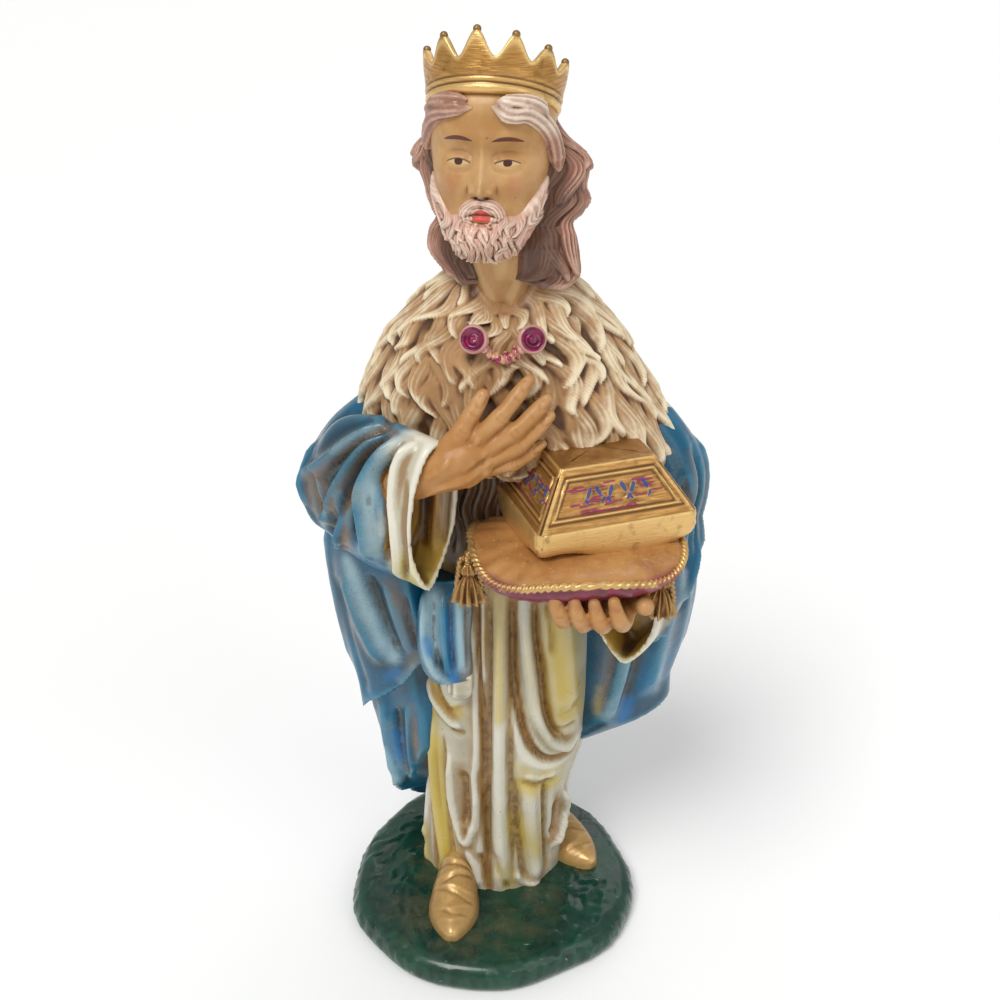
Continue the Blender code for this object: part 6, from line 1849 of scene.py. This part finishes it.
def box_ring(length, width, level, corner):
    """Points round a rectangle with rounded corners, as many on each side, with each one's side and place."""
    ring = []
    for side in range(4):
        for k in range(SIDE_POINTS):
            share = -1 + 2 * (k + 0.5) / SIDE_POINTS
            half = (length if side % 2 == 0 else width) / 2
            out = (width if side % 2 == 0 else length) / 2
            along = share * half
            draw = max(0.0, abs(along) - (half - corner)) / corner
            out -= corner * (1 - math.sqrt(max(0.0, 1 - draw**2))) if draw else 0
            along_in = math.copysign(min(abs(along), half), along)
            x, y = ((along_in, -out), (out, along_in), (-along_in, out), (-out, -along_in))[side]
            ring.append((x, y, level, side, along_in, half))
    return ring


lid_slopes = [math.hypot((CASKET_WIDTH - CASKET_TOP_WIDTH) / 2, CASKET_LID_RISE),
              math.hypot((CASKET_LENGTH - CASKET_TOP_LENGTH) / 2, CASKET_LID_RISE)] * 2
CASKET_TOP = CASKET_RIM_HEIGHT + CASKET_LID_RISE
casket_rows = [("rim", reach, level) for reach, level in RIM_ROWS]
casket_rows += [("lid", 0.0, share) for share in np.linspace(0.0, 1.0, 58)]
casket_rows += [("top", reach, level) for reach, level in TOP_ROWS]
casket_rings, casket_notes = [], []
for part, reach, level in casket_rows:
    if part == "rim":
        ring = box_ring(CASKET_LENGTH * reach, CASKET_WIDTH * reach, level, RIM_CORNER)
    elif part == "lid":
        length = CASKET_LENGTH * LID_FOOT + (CASKET_TOP_LENGTH - CASKET_LENGTH * LID_FOOT) * level
        width = CASKET_WIDTH * LID_FOOT + (CASKET_TOP_WIDTH - CASKET_WIDTH * LID_FOOT) * level
        ring = box_ring(length, width, CASKET_RIM_HEIGHT + CASKET_LID_RISE * level, LID_CORNER)
    else:
        length, width = CASKET_TOP_LENGTH * reach, CASKET_TOP_WIDTH * reach
        ring = box_ring(length, width, CASKET_TOP + level, LID_CORNER * reach)
    row, marks = [], []
    for x, y, z, side, along, half in ring:
        plum = blue = 0.0
        if part == "rim":
            z -= SAG * math.sin(3.3 * along / half + SAG_STARTS[side]) * max(0.0, 1 - z / 0.0055)
        if part == "lid":
            rise, plum, blue = casket_panel(side, along, lid_slopes[side] * level, half, lid_slopes[side])
            way_x, way_y = SIDE_WAYS[side]
            lean = CASKET_LID_RISE / lid_slopes[side]
            x, y, z = x + way_x * rise * lean, y + way_y * rise * lean, z + rise * math.sqrt(1 - lean**2)
        row.append((x, y, z))
        marks.append((plum, blue))
    casket_rings.append(row)
    casket_notes.append(marks)
casket = loft("casket", casket_rings)
casket_local = read_points(casket)
casket_seat = Matrix.Translation((CASKET_SPOT[0] * UNIT, CASKET_SPOT[1] * UNIT,
                                  cushion_middle.z + CUSHION_RISE))
casket.data.transform(casket_seat @ Matrix.Rotation(CASKET_TURN, 4, "Z"))
casket.data.shade_smooth()
note_relief(casket, 0.00008, 0.0004, 12)
ring_points = np.array(casket_rings).reshape(-1, 3)
ring_marks = np.array(casket_notes).reshape(-1, 2)
finder = KDTree(len(ring_points))
for number, place in enumerate(ring_points):
    finder.insert(place, number)
finder.balance()
casket_marks = np.array([ring_marks[finder.find(place)[1]] for place in casket_local])
note(casket, "plum", casket_marks[:, 0])
note(casket, "blue", casket_marks[:, 1])
on_top = casket_local[:, 2] > CASKET_TOP + 0.0002
note(casket, "knob", 0.4 * on_top)
for name in ("deep", "proud"):
    values = np.empty(len(on_top))
    casket.data.attributes[name].data.foreach_get("value", values)
    note(casket, name, values * ~on_top)


def casket_paint(paint):
    gold = gold_paint(paint)
    broken = paint.cloud(0.0012, 3.0) - 0.5
    plum = (paint.noted("plum") + broken * 0.8).between(0.25, 0.55)
    blue = (paint.noted("blue") + broken * 0.6).between(0.3, 0.6)
    return (blue * 0.95).over((plum * 0.9).over(gold, tint(138, 30, 74)), tint(34, 68, 128))


def casket_sheen(paint):
    bare = 1 - (paint.noted("plum") + paint.noted("blue")).clear()
    return gold_sheen(paint) * bare


casket_gold = paint_surface("casket_gold", casket_paint, gold_roughness, brushed_grain, casket_sheen,
                            gloss=0.2, tilt=0.35)
hand_over(casket, casket_gold)


# The clasp of the cape: two cupped stones in pale rims and a small drooping bow between them, modelled on the
# fur and painted magenta.
JEWEL_RADIUS = 0.0037
JEWEL_SPOTS = ((-4.2, -15.9, 216.0, -14), (11.8, -15.9, 216.0, 12))
JEWEL_TILT = math.radians(-24)
JEWEL_SECTION = ((0.0, 1.15), (0.14, 1.2), (0.28, 1.0), (0.40, 0.62), (0.52, 0.55), (0.64, 0.75),
                 (0.74, 1.15),
                 (0.84, 1.5), (0.94, 1.5), (1.04, 1.15), (1.10, 0.5), (1.10, -0.8), (0.98, -1.9))
BOW_STRANDS = 9
clasp_parts = []
for x, y, z, facing in JEWEL_SPOTS:
    rings = []
    for reach, height in smooth_path(JEWEL_SECTION, 60):
        ring = []
        for angle in np.linspace(0, 2 * math.pi, 52, endpoint=False):
            swirl = 0.16 * math.sin(angle - 11 * reach) * (1 if 0.05 < reach < 0.75 else 0)
            wobble = 1 + 0.02 * math.sin(3 * angle + x)
            r = JEWEL_RADIUS * 1000 * max(reach, 0.01) * wobble
            ring.append((r * math.cos(angle), -(height + swirl), r * math.sin(angle)))
        rings.append(ring)
    jewel = loft("jewel", np.array(rings))
    jewel.data.transform(Matrix.Translation(spot(x, y, z)) @ Matrix.Rotation(math.radians(facing), 4, "Z")
                         @ Matrix.Rotation(JEWEL_TILT, 4, "X") @ Matrix.Scale(UNIT, 4))
    clasp_parts.append(jewel)
bow_runs = []
for k in range(BOW_STRANDS):
    share = (k + 0.5) / BOW_STRANDS
    x = -1.8 + 11.2 * share
    droop = 3.6 * math.sin(math.pi * share)
    twist = 0.9 if k % 2 else -0.9
    bow_runs.append([(x - 0.5, -15.8, 214.9 - droop + twist * 0.4, 0.7), (x, -17.0, 213.8 - droop, 1.05),
                     (x + 0.5, -16.0, 212.6 - droop - twist * 0.4, 0.7)])
clasp_parts.append(tubes("bow", bow_runs, sides=4, steps=4))
clasp = joined("cape_clasp", clasp_parts)
clasp.data.shade_smooth()
note_relief(clasp, 0.00007, 0.0004, 12)
from_stones = np.array([np.linalg.norm(read_points(clasp) - np.array(spot(x, y, z)), axis=1) / JEWEL_RADIUS
                        for x, y, z, _ in JEWEL_SPOTS])
note(clasp, "rim", np.max(np.clip((from_stones - 0.97) / 0.08, 0, 1) * (from_stones < 1.5), axis=0))
note(clasp, "bow", (np.min(from_stones, axis=0) >= 1.3).astype(float))


def clasp_paint(paint):
    stone = paint.blotted(tint(136, 24, 74), tint(98, 18, 54), 0.002, 2.0, 0.35, 0.65)
    # Painted highlight on the rises of the stones and painted shade in their hollows.
    stone = paint.washed(stone, ("proud", 0.3, 0.9, 0.5, tint(196, 92, 138)),
                         ("deep", 0.2, 0.8, 0.7, tint(70, 14, 36)))
    stone = (paint.noted("rim") * 0.85).over(stone, tint(206, 158, 140))
    bow = paint.blotted(tint(198, 152, 112), tint(142, 36, 78), 0.0016, 2.0, 0.42, 0.58)
    # Painted shade in the hollows of the bow.
    bow = paint.noted("deep").over(bow, tint(92, 58, 36))
    return paint.noted("bow").over(stone, bow)


stone_roughness = mottled(0.002, 0.14, 0.24)
clasp_gloss = paint_surface("clasp_gloss", clasp_paint, stone_roughness, lacquer_grain, gloss=0.6)
hand_over(clasp, clasp_gloss)
